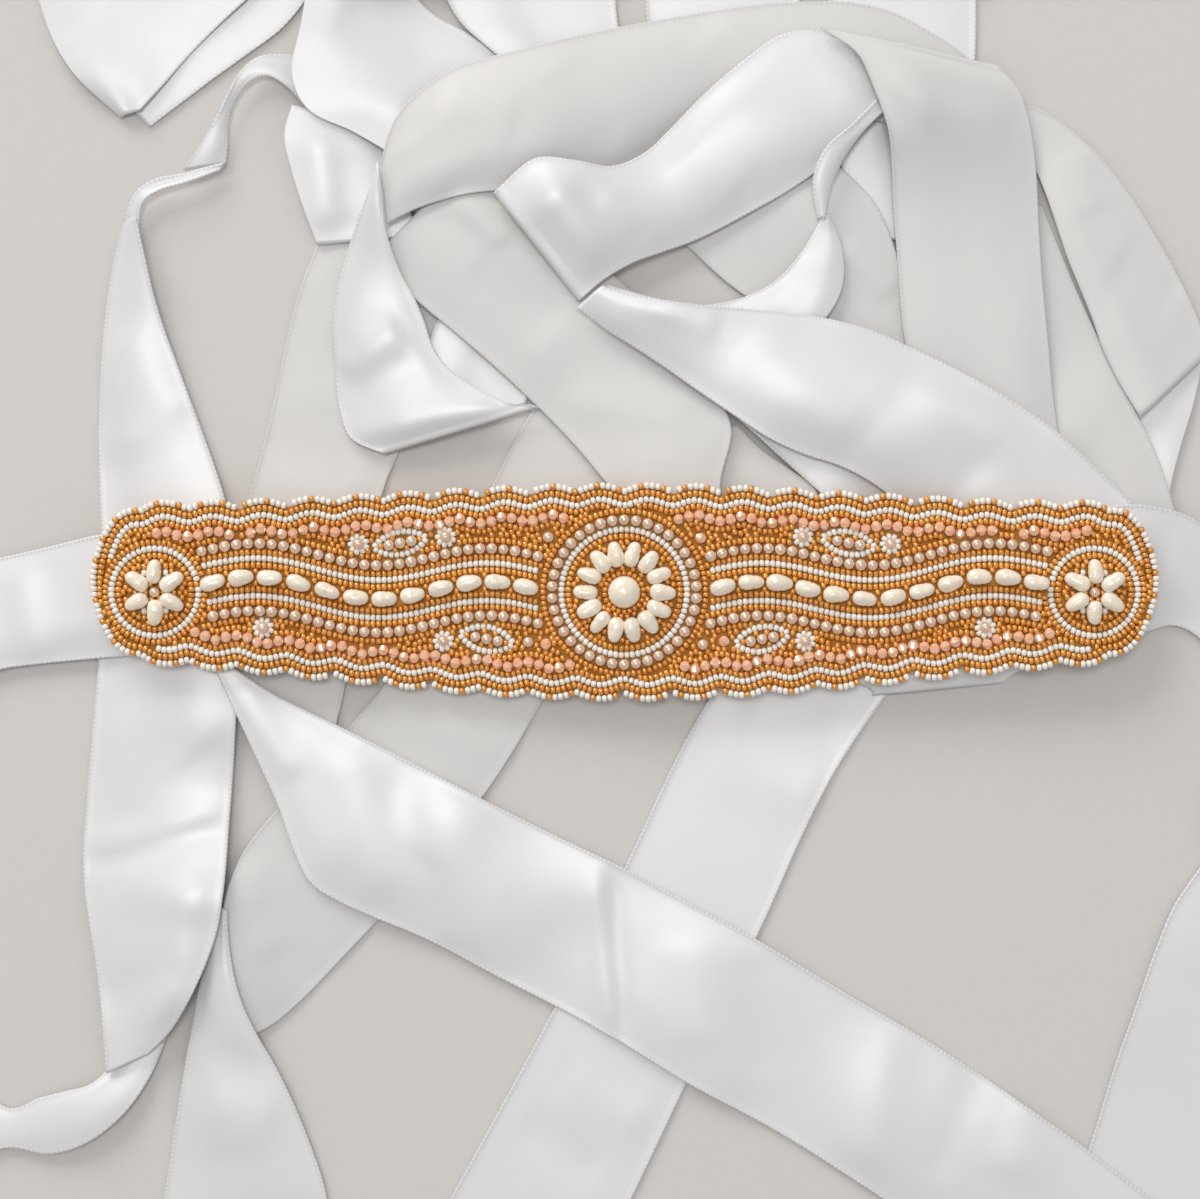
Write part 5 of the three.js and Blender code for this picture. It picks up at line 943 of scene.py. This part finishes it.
def long_shape(length, width, rng):
    """A long river pearl: fuller at one end, faintly ringed and a little flat on one side."""
    angles = np.linspace(0.15, math.pi - 0.15, 15)
    phase, fuller_end, pinch = rng.uniform(0, 2), rng.uniform(0.04, 0.16), rng.uniform(0.0, 0.10)
    profile = []
    for a in angles:
        x = -length / 2 * math.cos(a)
        fuller = 1 + fuller_end * math.cos(a) - pinch * math.exp(-((x - 0.5) ** 2) / 0.6)
        ring = 1 + 0.03 * math.sin(x * 5.0 + phase) + 0.015 * math.sin(x * 9.0 - phase)
        profile.append((x, width / 2 * math.sin(a) ** 0.8 * fuller * ring))
    verts, faces = turned_shape(profile, 18, 0.04, 3)
    verts[:, 1] *= rng.uniform(0.90, 1.04)
    verts[:, 1] += rng.uniform(-0.25, 0.25) * np.cos(verts[:, 0] * math.pi / length)
    return verts, faces


def crystal_shape(length, radius):
    h = length / 2
    profile = [(-h, radius * 0.42), (-h * 0.5, radius * 0.92), (0, radius)]
    profile += [(-x, r) for x, r in profile[-2::-1]]
    return turned_shape(profile, 6)


def turn(points, a, b, angle):
    """Points turned by an angle from axis a towards axis b."""
    c, s = math.cos(angle), math.sin(angle)
    made = points.copy()
    made[:, a] = points[:, a] * c - points[:, b] * s
    made[:, b] = points[:, a] * s + points[:, b] * c
    return made


def place_beads(name, shapes, placings, lift, rng, jitter=0.06, smooth=True, flat=1.0):
    """Copies of the shapes at x, y, angle, joined into one object that lies on the backing."""
    verts, faces, start = [], [], 0
    for number, (x, y, angle) in enumerate(placings):
        shape, shape_faces = shapes[number % len(shapes)]
        roll = rng.uniform(0, 2 * math.pi)
        yaw = angle + rng.normal(0, jitter)
        tilt = rng.normal(0, jitter)
        scale = 1 + rng.normal(0, 0.025)
        p = turn(shape * scale, 1, 2, roll) * (1, 1, flat)
        p = turn(turn(p, 0, 2, tilt), 0, 1, yaw)
        bottom = -p[:, 2].min()
        z = panel_base(x, y) + bottom * lift + rng.normal(0, 0.04)
        p += (x + PANEL_CENTRE_X, y + PANEL_CENTRE_Y, z)
        verts.append(p)
        faces.append(shape_faces + start)
        start += len(p)
    return mesh_object(name, np.concatenate(verts), np.concatenate(faces), smooth=smooth)


class Beadwork:
    """Keeps the place of every bead, so that none is sewn where another lies."""

    CELL = 4.0

    def __init__(self):
        self.placed = {kind: [] for kind in ("gold", "white", "pearl", "long", "crystal")}
        self.cells = {}

    def free(self, x, y, radius):
        column, row = math.floor(x / self.CELL), math.floor(y / self.CELL)
        for i, j in itertools.product((-1, 0, 1), repeat=2):
            for px, py, pr in self.cells.get((column + i, row + j), ()):
                if (x - px) ** 2 + (y - py) ** 2 < (radius + pr) ** 2:
                    return False
        return True

    def keep(self, x, y, radius):
        cell = math.floor(x / self.CELL), math.floor(y / self.CELL)
        self.cells.setdefault(cell, []).append((x, y, radius))

    def sew(self, kind, x, y, angle, radius, long_half=0.0, force=False):
        """Sews a bead if its place is free. A long one keeps three circles along its length."""
        c, s = math.cos(angle), math.sin(angle)
        shares = (-1, 0, 1) if long_half else (0,)
        spots = [(x + share * long_half * c, y + share * long_half * s) for share in shares]
        if not force and not all(self.free(px, py, radius) for px, py in spots):
            return False
        for px, py in spots:
            self.keep(px, py, radius)
        self.placed[kind].append((x, y, angle))
        return True

    def row(self, kind, path, pitch, radius, closed=False, force=False, every=0):
        """Beads evenly along a path of points. A gold seed takes every so many-th place."""
        path = np.asarray(path, float)
        if closed:
            path = np.vstack([path, path[:1]])
        steps = np.hypot(*np.diff(path, axis=0).T)
        travelled = np.concatenate([[0], np.cumsum(steps)])
        total = travelled[-1]
        if total < pitch:
            return
        count = max(1, int(round(total / pitch)))
        for k in range(count):
            here = (k + 0.5) * total / count
            i = int(min(np.searchsorted(travelled, here, side="right") - 1, len(steps) - 1))
            f = (here - travelled[i]) / max(steps[i], 1e-9)
            x, y = path[i] * (1 - f) + path[i + 1] * f
            angle = math.atan2(path[i + 1][1] - path[i][1], path[i + 1][0] - path[i][0])
            chosen = "gold" if every and k % every == every - 1 else kind
            self.sew(chosen, x, y, angle, radius, force=force)


def ring(cx, cy, radius, count=72):
    angles = np.arange(count) * 2 * math.pi / count
    return np.stack([cx + radius * np.cos(angles), cy + radius * np.sin(angles)], 1)


def oval(cx, cy, angle, length, width):
    """A closed path round a pointed oval."""
    s = np.linspace(-1, 1, 40)
    upper = np.stack([s * length / 2, width / 2 * (1 - s * s) ** 0.8], 1)
    outline = np.concatenate([upper, upper[::-1] * (1, -1)])
    return turn(outline, 0, 1, angle) + (cx, cy)


def rim_path(inset):
    """The scalloped rim moved inwards by inset, as a closed path in the panel's own frame."""
    upper = np.array([(s * PANEL_LENGTH / 2, max(0.0, panel_half(s))) for s in np.linspace(-1, 1, 700)])
    path = np.concatenate([upper, upper[::-1] * (1, -1)])
    path[:, 1] += panel_middle(path[:, 0] * 2 / PANEL_LENGTH)
    tangent = np.roll(path, -3, axis=0) - np.roll(path, 3, axis=0)
    tangent /= np.maximum(np.linalg.norm(tangent, axis=1, keepdims=True), 1e-9)
    moved = path + np.stack([tangent[:, 1], -tangent[:, 0]], 1) * inset
    keep = []
    for point in moved:
        gap = np.hypot(path[:, 0] - point[0], path[:, 1] - point[1]).min()
        keep.append(gap > inset - 0.12)
    return moved[np.array(keep)]


def fill_ground(work):
    """Larger beads in the open places, and then gold seeds packed close."""
    xs = np.arange(-GROUND_END, GROUND_END + 0.1, GROUND_GRID)
    ys = np.arange(GROUND_LOW, GROUND_HIGH, GROUND_GRID)
    x, y = np.meshgrid(xs, ys, indexing="ij")
    t = 2 * xs / PANEL_LENGTH
    half = np.array([panel_half(s) if abs(s) < 1 else 0.0 for s in t])
    room = half[:, None] - GROUND_RIM - np.abs(y - panel_middle(t)[:, None])
    room = np.minimum(room, GROUND_END - GROUND_GRID - np.abs(x))

    def take(px, py, radius):
        near = []
        for place in (px + GROUND_END, py - GROUND_LOW):
            start, stop = int((place - GROUND_REACH) / GROUND_GRID), int((place + GROUND_REACH) / GROUND_GRID)
            near.append(slice(max(0, start), stop + 1))
        near = tuple(near)
        room[near] = np.minimum(room[near], np.hypot(x[near] - px, y[near] - py) - radius)

    def sew(kind, px, py, angle, radius):
        sewn = work.sew(kind, px, py, angle, radius)
        if sewn:
            take(px, py, radius)
        return sewn

    for beads in list(work.cells.values()):
        for px, py, radius in beads:
            take(px, py, radius)
    seed_room = SEED[1]
    number = 0
    while room.max() > LARGE_ROOM:
        i, j = np.unravel_index(np.argmax(room), room.shape)
        sew("pearl" if number % 2 else "crystal", x[i, j], y[i, j], 0.6 * number, LARGE_KEEP)
        room[i, j] = -1
        number += 1
    while True:
        tight = np.where(room >= seed_room, room, np.inf)
        i, j = np.unravel_index(np.argmin(tight), room.shape)
        if not np.isfinite(tight[i, j]):
            break
        angle = 0.25 * math.sin(x[i, j] / 9) + math.atan2(y[i, j], 60.0)
        if not sew("gold", x[i, j], y[i, j], angle, seed_room):
            room[i, j] = -1


def stitch_panel():
    """Places every bead of the panel."""
    work = Beadwork()

    def rings(cx, cy, rows, force=False):
        for radius, kind, pitch, room in rows:
            work.row(kind, ring(cx, cy, radius), pitch, room, closed=True, force=force)

    # Middle flower
    work.sew("long", 0, 0, 0.3, CENTRE_PEARL / 2 - 0.4, force=True)
    rings(0, 0, [(CENTRE_PEARL / 2 + 0.9, "gold", *SEED)], force=True)
    for k in range(PETAL_COUNT):
        angle = k * 2 * math.pi / PETAL_COUNT
        x, y = PETAL_RING * math.cos(angle), PETAL_RING * math.sin(angle)
        work.sew("long", x, y, angle, PETAL_ROOM, PETAL_REACH, force=True)
    rings(0, 0, MIDDLE_RINGS, force=True)
    # Stem of long pearls
    for side in (-1, 1):
        for k in range(STEM_COUNT):
            x = side * (STEM_START + k * STEM_PITCH)
            angle = math.atan2(stem_middle(x + 1) - stem_middle(x - 1), 2)
            work.sew("long", x, stem_middle(x), angle, STEM_ROOM, STEM_REACH)
    # Tip flowers
    for side in (-1, 1):
        cx, cy = side * TIP_X, stem_middle(TIP_X)
        work.sew("pearl", cx, cy, 0, PEARL_ROOM, force=True)
        for k in range(TIP_PETALS):
            angle = k * 2 * math.pi / TIP_PETALS + math.pi / 2
            x, y = cx + side * TIP_PETAL_RING * math.cos(angle), cy + TIP_PETAL_RING * math.sin(angle)
            angle = angle if side > 0 else math.pi - angle
            work.sew("long", x, y, angle, TIP_PETAL_ROOM, TIP_PETAL_REACH, force=True)
        rings(cx, cy, TIP_RINGS)
    # Rows inside the rim and rows beside the stem, and ovals in the wide bays before the last of both
    xs = np.linspace(ROSETTE_RADIUS + 0.5, PANEL_LENGTH / 2 - 3, 340)

    def rim_rows(rows):
        for inset, kind, pitch, room in rows:
            work.row(kind, rim_path(inset), pitch, room, closed=True, every=4 if inset < 1 else 0)

    def stem_rows(rows):
        for offset, kind, pitch, room in rows:
            for side, way in itertools.product((-1, 1), repeat=2):
                work.row(kind, [(side * x, stem_middle(x) + way * offset) for x in xs], pitch, room)

    rim_rows(RIM_ROWS[:4])
    stem_rows(STEM_ROWS[:-1])
    rim_rows(RIM_ROWS[4:-1])
    for side in (-1, 1):
        for x, way, length, width in OVALS:
            middles = []
            for place in (x - 2, x, x + 2):
                t = 2 * place / PANEL_LENGTH
                inner = stem_middle(place) + way * (STEM_ROWS[-2][0] + 1.4)
                outer = panel_middle(t) + way * (panel_half(t) - RIM_ROWS[-2][0] - 1.3)
                middles.append((inner + outer) / 2)
            angle = math.atan2(side * (middles[2] - middles[0]), 4) if length > width else 0.0
            for k in range(-1, 2):
                reach = side * k * 2.9
                if abs(reach) <= max(length / 2 - 3, 0):
                    px, py = side * x + reach * math.cos(angle), middles[1] + reach * math.sin(angle)
                    work.sew("pearl", px, py, angle, 1.3, force=True)
            outline = oval(side * x, middles[1], angle, length - 1.4, width - 1.4)
            if length <= width:
                outline = ring(side * x, middles[1], width / 2 - 0.75, 36)
            work.row("white", outline, 1.42, 0.6, closed=True, force=True)
    stem_rows(STEM_ROWS[-1:])
    rim_rows(RIM_ROWS[-1:])
    fill_ground(work)
    return work.placed


# Materials


def node_group(name, inputs, outputs):
    """An empty shader group, with its node of inputs and its node of outputs."""
    group = bpy.data.node_groups.new(name, "ShaderNodeTree")
    for label, kind, default in inputs:
        socket = group.interface.new_socket(name=label, in_out="INPUT", socket_type=kind)
        socket.default_value = default
    for label, kind in outputs:
        group.interface.new_socket(name=label, in_out="OUTPUT", socket_type=kind)
    return group, group.nodes.new("NodeGroupInput"), group.nodes.new("NodeGroupOutput")


def feed(tree, socket, value):
    """Links a socket to another one, or sets it to a constant."""
    if isinstance(value, bpy.types.NodeSocket):
        tree.links.new(value, socket)
    else:
        socket.default_value = value


def add(tree, kind, inputs, **settings):
    node = tree.nodes.new(kind)
    for key, value in settings.items():
        setattr(node, key, value)
    for key, value in inputs.items():
        feed(tree, node.inputs[key], value)
    return node


def colour_mix(tree, factor, a, b, blend="MIX"):
    return add(tree, "ShaderNodeMix", {0: factor, 6: a, 7: b}, data_type="RGBA", blend_type=blend).outputs[2]


def maths(tree, operation, *values):
    return add(tree, "ShaderNodeMath", dict(enumerate(values)), operation=operation).outputs[0]


def noise(tree, vector, scale, detail, roughness=0.5):
    inputs = {"Vector": vector, "Scale": scale, "Detail": detail, "Roughness": roughness}
    return add(tree, "ShaderNodeTexNoise", inputs).outputs["Fac"]


def satin_group():
    """Colour, roughness and height of double face satin, from the ribbon's own length and edge."""
    group, given, out = node_group(
        "SatinWeave",
        [("Tint", "NodeSocketColor", (1, 1, 1, 1)), ("Edge Tint", "NodeSocketColor", (1, 1, 1, 1)),
         ("Dullness", "NodeSocketFloat", 0.0)],
        [("Color", "NodeSocketColor"), ("Roughness", "NodeSocketFloat"), ("Height", "NodeSocketFloat")],
    )
    tint, edge_tint, dullness = given.outputs[:3]
    uv = add(group, "ShaderNodeUVMap", {}, uv_map="UVMap").outputs[0]
    parts = add(group, "ShaderNodeSeparateXYZ", {0: uv})
    along = maths(group, "MULTIPLY", parts.outputs[0], UV_LENGTH)
    inward = maths(group, "MULTIPLY", parts.outputs[1], UV_LENGTH)
    place = add(group, "ShaderNodeTexCoord", {}).outputs["Object"]
    # Long floats of the weave: fine lines along the ribbon
    slid = maths(group, "MULTIPLY", along, 0.35)
    packed = maths(group, "MULTIPLY", inward, 9.0)
    stretched = add(group, "ShaderNodeCombineXYZ", {0: slid, 1: packed}).outputs[0]
    floats = noise(group, stretched, 1.0, 2.0)
    # Faint puckers across the ribbon and slow shading
    puckers = noise(group, place, 160.0, 2.0, 0.55)
    slow = noise(group, place, 22.0, 2.0)
    # Woven edge: a narrow band with a fine picot, and a stitch line inside it
    inside = add(group, "ShaderNodeMapRange", {0: inward, 1: 0.55, 2: 0.8, 3: 0.0, 4: 1.0}).outputs[0]
    band = maths(group, "SUBTRACT", 1.0, inside)
    wave = maths(group, "SINE", maths(group, "MULTIPLY", along, 5.4))
    picot = maths(group, "MULTIPLY", maths(group, "MULTIPLY_ADD", wave, 0.5, 0.5), band)
    off_line = maths(group, "SUBTRACT", inward, 0.95)
    faded = maths(group, "MULTIPLY", maths(group, "MULTIPLY", off_line, off_line), 18.0)
    line = maths(group, "SUBTRACT", 1.0, maths(group, "MINIMUM", faded, 1.0))
    # Colour
    shade = maths(group, "MULTIPLY_ADD", slow, 0.06, 0.97)
    grey = add(group, "ShaderNodeCombineColor", {0: shade, 1: shade, 2: shade}).outputs[0]
    tinted = colour_mix(group, 1.0, tint, grey, "MULTIPLY")
    edged = colour_mix(group, maths(group, "MULTIPLY", picot, 0.85), tinted, edge_tint)
    lined = colour_mix(group, maths(group, "MULTIPLY", line, 0.35), edged, edge_tint)
    # Roughness
    rough = maths(group, "MULTIPLY_ADD", floats, 0.10, 0.38)
    rough = maths(group, "ADD", rough, maths(group, "MULTIPLY", band, 0.18))
    rough = maths(group, "ADD", rough, dullness)
    # Height
    height = maths(group, "MULTIPLY", floats, 0.35)
    height = maths(group, "ADD", height, maths(group, "MULTIPLY", puckers, 0.65))
    height = maths(group, "ADD", height, maths(group, "MULTIPLY", picot, 0.8))
    height = maths(group, "SUBTRACT", height, maths(group, "MULTIPLY", line, 0.7))
    for label, value in (("Color", lined), ("Roughness", rough), ("Height", height)):
        feed(group, out.inputs[label], value)
    return group


def bead_group():
    """Colour that changes a little from bead to bead, and small wear of the surface."""
    group, given, out = node_group(
        "BeadGlass",
        [("Light", "NodeSocketColor", (1, 1, 1, 1)), ("Dark", "NodeSocketColor", (0.5, 0.5, 0.5, 1)),
         ("Rough", "NodeSocketFloat", 0.25), ("Ripple", "NodeSocketFloat", 900.0)],
        [("Color", "NodeSocketColor"), ("Roughness", "NodeSocketFloat"), ("Height", "NodeSocketFloat")],
    )
    light, dark, base_rough, ripple_scale = given.outputs[:4]
    place = add(group, "ShaderNodeTexCoord", {}).outputs["Object"]
    beads = add(group, "ShaderNodeTexVoronoi", {"Vector": place, "Scale": 520.0}).outputs["Color"]
    split = add(group, "ShaderNodeSeparateColor", {0: beads}).outputs[0]
    drift = noise(group, place, 260.0, 1.0)
    ripple = noise(group, place, ripple_scale, 2.0)
    factor = maths(group, "MULTIPLY_ADD", drift, 0.6, maths(group, "MULTIPLY", split, 0.4))
    colour = colour_mix(group, factor, light, dark)
    rough = maths(group, "ADD", base_rough, maths(group, "MULTIPLY_ADD", ripple, 0.12, -0.06))
    for label, value in (("Color", colour), ("Roughness", rough), ("Height", ripple)):
        feed(group, out.inputs[label], value)
    return group


def new_material(name, group, values, bump, fixed):
    """A material whose shader takes colour, roughness and bump from a group."""
    material = bpy.data.materials.new(name)
    material.use_nodes = True
    tree = material.node_tree
    shader = tree.nodes["Principled BSDF"]
    source = tree.nodes.new("ShaderNodeGroup")
    source.node_tree = group
    for key, value in values.items():
        source.inputs[key].default_value = value
    strength, distance = bump
    height = source.outputs["Height"]
    relief = add(tree, "ShaderNodeBump", {"Height": height, "Strength": strength, "Distance": distance})
    feed(tree, shader.inputs["Base Color"], source.outputs["Color"])
    feed(tree, shader.inputs["Roughness"], source.outputs["Roughness"])
    feed(tree, shader.inputs["Normal"], relief.outputs[0])
    for key, value in fixed.items():
        shader.inputs[key].default_value = value
    return material


def satin_material(name, tint, edge_tint, dullness, gloss):
    group = bpy.data.node_groups.get("SatinWeave") or satin_group()
    values = {"Tint": (*tint, 1), "Edge Tint": (*edge_tint, 1), "Dullness": dullness}
    fixed = {"Metallic": 0.12 * gloss, "Specular IOR Level": gloss, "Sheen Weight": 0.1,
             "Sheen Roughness": 0.4, "IOR": 1.5}
    return new_material(name, group, values, (0.25, 0.00006), fixed)


def bead_material(name, light, dark, rough, ripple, bump, fixed):
    group = bpy.data.node_groups.get("BeadGlass") or bead_group()
    values = {"Light": (*light, 1), "Dark": (*dark, 1), "Rough": rough, "Ripple": ripple}
    return new_material(name, group, values, bump, fixed)


PLACED = stitch_panel()


# Add-on


class SashSettings(bpy.types.PropertyGroup):
    satin_tint: bpy.props.FloatVectorProperty(
        name="Satin", description="Colour of the ribbon", subtype="COLOR", size=3,
        default=(0.80, 0.795, 0.80), min=0, max=1)
    edge_tint: bpy.props.FloatVectorProperty(
        name="Woven edge", description="Colour of the ribbon's woven edge", subtype="COLOR", size=3,
        default=(0.63, 0.62, 0.62), min=0, max=1)
    # Colour of the satin on the stretches in shade: the white satin darkened as painted shade
    painted_shade_tint: bpy.props.FloatVectorProperty(
        name="Reverse", description="Colour of the ribbon's duller reverse", subtype="COLOR", size=3,
        default=(0.72, 0.705, 0.685), min=0, max=1)
    satin_thickness: bpy.props.FloatProperty(
        name="Satin thickness", description="Thickness of the cloth", unit="LENGTH", subtype="DISTANCE",
        default=0.0003, min=0.0001, max=0.001, precision=5)
    floor_tint: bpy.props.FloatVectorProperty(
        name="Floor", description="Colour of the plain floor", subtype="COLOR", size=3,
        default=(0.70, 0.672, 0.642), min=0, max=1)


class BeadSettings(bpy.types.PropertyGroup):
    gold_tint: bpy.props.FloatVectorProperty(
        name="Gold seeds", description="Colour of the gold seed beads", subtype="COLOR", size=3,
        default=(0.96, 0.46, 0.09), min=0, max=1)
    white_tint: bpy.props.FloatVectorProperty(
        name="White seeds", description="Colour of the white seed beads", subtype="COLOR", size=3,
        default=(0.97, 0.93, 0.86), min=0, max=1)
    pearl_tint: bpy.props.FloatVectorProperty(
        name="Round pearls", description="Colour of the round pearls", subtype="COLOR", size=3,
        default=(0.93, 0.71, 0.55), min=0, max=1)
    ivory_tint: bpy.props.FloatVectorProperty(
        name="Long pearls", description="Colour of the long pearls", subtype="COLOR", size=3,
        default=(1.0, 0.92, 0.78), min=0, max=1)
    crystal_tint: bpy.props.FloatVectorProperty(
        name="Crystals", description="Colour of the faceted crystals", subtype="COLOR", size=3,
        default=(1.0, 0.45, 0.24), min=0, max=1)
    seed_radius: bpy.props.FloatProperty(
        name="Seed radius", description="Radius of a seed bead", unit="LENGTH", subtype="DISTANCE",
        default=0.00095, min=0.0005, max=0.002, precision=5)


class SASH_OT_ribbon(bpy.types.Operator):
    """Makes every stretch of the satin ribbon"""

    bl_idname = "sash.ribbon"
    bl_label = "Ribbon"

    def execute(self, context):
        sash = context.scene.sash
        face = satin_material("WhiteSatin", sash.satin_tint, sash.edge_tint, 0.0, 1.0)
        # A darker, rougher and less glossy copy of the satin for the stretches that lie in shade; its darker
        # colour is painted shade
        shaded_satin = satin_material("SatinReverse", sash.painted_shade_tint, sash.edge_tint, 0.14, 0.6)
        under = carriers()
        for stretch in STRETCHES:
            made, flat, area = ribbon_shell(stretch, sash.satin_thickness / MM)
            satin = shaded_satin if stretch.name in SHADED_STRETCHES else face
            finish_piece(made, satin, [stretch.name])
            area = min(area, flat[0] * flat[1])
        return {"FINISHED"}


class SASH_OT_backing(bpy.types.Operator):
    """Makes the stiff backing of the beaded panel"""

    bl_idname = "sash.backing"
    bl_label = "Panel backing"

    def execute(self, context):
        tint = context.scene.sash_beads.gold_tint
        light, dark = [c * 0.75 for c in tint], [c * 0.5 for c in tint]
        ground = bead_material(
            "GoldGround", light, dark, 0.7, 2400.0, (0.6, 0.0002), {"Specular IOR Level": 0.3})
        made, flat, area = backing_shell()
        finish_piece(made, ground, ["beaded_panel"])
        under = carriers()["beaded_panel"]
        return {"FINISHED"}


class SASH_OT_seeds(bpy.types.Operator):
    """Sews the gold and the white seed beads"""

    bl_idname = "sash.seeds"
    bl_label = "Seed beads"

    def execute(self, context):
        beads = context.scene.sash_beads
        rng = np.random.default_rng(11)
        shape = [seed_shape(SEED_LENGTH, beads.seed_radius / MM)]
        gold = bead_material(
            "GoldSeed", beads.gold_tint, (0.72, 0.25, 0.02), 0.16, 1500.0, (0.1, 0.0001),
            {"Metallic": 0.4, "Coat Weight": 0.8, "Coat Roughness": 0.1, "Specular IOR Level": 0.7})
        white = bead_material(
            "WhiteSeed", beads.white_tint, (0.92, 0.84, 0.72), 0.26, 1500.0, (0.1, 0.0001),
            {"Coat Weight": 0.35, "Coat Roughness": 0.15})
        for name, kind, material in (("gold_seeds", "gold", gold), ("white_seeds", "white", white)):
            finish_piece(place_beads(name, shape, PLACED[kind], SEED_LIFT, rng), material)
        return {"FINISHED"}


class SASH_OT_pearls(bpy.types.Operator):
    """Sews the round and the long pearls"""

    bl_idname = "sash.pearls"
    bl_label = "Pearls"

    def execute(self, context):
        beads = context.scene.sash_beads
        rng = np.random.default_rng(12)
        champagne = bead_material(
            "ChampagnePearl", beads.pearl_tint, (0.80, 0.54, 0.38), 0.2, 900.0, (0.05, 0.0001),
            {"Metallic": 0.4, "Coat Weight": 1.0, "Coat Roughness": 0.08, "Specular IOR Level": 0.8})
        ivory = bead_material(
            "IvoryPearl", beads.ivory_tint, (0.92, 0.77, 0.57), 0.22, 620.0, (0.6, 0.0005),
            {"Metallic": 0.05, "Coat Weight": 0.9, "Coat Roughness": 0.12, "Sheen Weight": 0.05})
        middle, others = PLACED["long"][:1], PLACED["long"][1:]
        pearl = [round_shape(PEARL_RADIUS)]
        sewn = place_beads("round_pearls", pearl, PLACED["pearl"], BEAD_LIFT, rng)
        finish_piece(sewn, champagne)
        shapes = [long_shape(PETAL_LENGTH, PETAL_WIDTH, rng) for _ in range(LONG_SHAPES)]
        sewn = place_beads("long_pearls", shapes, others, BEAD_LIFT, rng, jitter=0.08)
        finish_piece(sewn, ivory)
        button = [round_shape(CENTRE_PEARL / 2, 24, 15)]
        sewn = place_beads("middle_pearl", button, middle, SEED_LIFT, rng, flat=0.8)
        finish_piece(sewn, ivory)
        return {"FINISHED"}


class SASH_OT_crystals(bpy.types.Operator):
    """Sews the faceted crystals"""

    bl_idname = "sash.crystals"
    bl_label = "Crystals"

    def execute(self, context):
        beads = context.scene.sash_beads
        rng = np.random.default_rng(13)
        crystal = bead_material(
            "BlushCrystal", beads.crystal_tint, (0.98, 0.66, 0.46), 0.08, 900.0, (0.02, 0.0001),
            {"Metallic": 0.15, "Coat Weight": 1.0, "Coat Roughness": 0.03, "Specular IOR Level": 1.0})
        shape = [crystal_shape(CRYSTAL_LENGTH, CRYSTAL_RADIUS)]
        sewn = place_beads("crystals", shape, PLACED["crystal"], BEAD_LIFT, rng, smooth=False)
        finish_piece(sewn, crystal)
        return {"FINISHED"}


class SASH_OT_stage(bpy.types.Operator):
    """Makes the plain floor, the lights and the camera"""

    bl_idname = "sash.stage"
    bl_label = "Stage"

    def execute(self, context):
        scene = context.scene
        signs = ((-1, -1), (1, -1), (1, 1), (-1, 1))
        corners = [(x * FLOOR_HALF, y * FLOOR_HALF, -FLOOR_DROP) for x, y in signs]
        floor = mesh_object("floor", corners, [(0, 1, 2, 3)])
        light, dark = scene.sash.floor_tint, [c * 0.97 for c in scene.sash.floor_tint]
        plain = bead_material(
            "PlainFloor", light, dark, 0.9, 60.0, (0.05, 0.0005), {"Specular IOR Level": 0.1})
        floor.data.materials.append(plain)
        for name, place, size, power, tint in LIGHTS:
            light = bpy.data.lights.new(name, "AREA")
            light.shape = "RECTANGLE"
            light.size, light.size_y = size
            light.energy = power
            light.color = tint
            lamp = bpy.data.objects.new(name, light)
            scene.collection.objects.link(lamp)
            lamp.location = place
            lamp.rotation_mode = "QUATERNION"
            aim = type(lamp.location)((AIM_X * MM - place[0], AIM_Y * MM - place[1], -place[2]))
            lamp.rotation_quaternion = aim.to_track_quat("-Z", "Y")
        world = bpy.data.worlds.new("Studio")
        world.use_nodes = True
        sky = world.node_tree.nodes["Background"]
        sky.inputs[0].default_value = (*WORLD_COLOUR, 1)
        sky.inputs[1].default_value = WORLD_STRENGTH
        scene.world = world
        scene.view_settings.view_transform = "Standard"
        lens = bpy.data.cameras.new("camera")
        lens.sensor_width = SENSOR_WIDTH
        lens.lens = SENSOR_WIDTH * CAMERA_HEIGHT / FRAME_WIDTH
        camera = bpy.data.objects.new("camera", lens)
        scene.collection.objects.link(camera)
        camera.location = (AIM_X * MM, AIM_Y * MM, CAMERA_HEIGHT * MM)
        scene.camera = camera
        return {"FINISHED"}


class SASH_PT_panel(bpy.types.Panel):
    bl_label = "Bridal Sash"
    bl_idname = "SASH_PT_panel"
    bl_space_type = "VIEW_3D"
    bl_region_type = "UI"
    bl_category = "Sash"

    def draw(self, context):
        layout = self.layout
        for group in (context.scene.sash, context.scene.sash_beads):
            for key in group.bl_rna.properties.keys():
                if key not in ("rna_type", "name"):
                    layout.prop(group, key)
        for step in STEPS:
            layout.operator("sash." + step)


STEPS = ("stage", "ribbon", "seeds", "pearls", "crystals", "backing")
CLASSES = (
    SashSettings, BeadSettings, SASH_OT_ribbon, SASH_OT_backing, SASH_OT_seeds, SASH_OT_pearls,
    SASH_OT_crystals, SASH_OT_stage, SASH_PT_panel,
)


def register():
    for made in CLASSES:
        bpy.utils.register_class(made)
    bpy.types.Scene.sash = bpy.props.PointerProperty(type=SashSettings)
    bpy.types.Scene.sash_beads = bpy.props.PointerProperty(type=BeadSettings)


def unregister():
    del bpy.types.Scene.sash_beads
    del bpy.types.Scene.sash
    for made in reversed(CLASSES):
        bpy.utils.unregister_class(made)


def main():
    register()
    for step in STEPS:
        getattr(bpy.ops.sash, step)()
    bpy.context.view_layer.update()


if __name__ == "__main__":
    main()
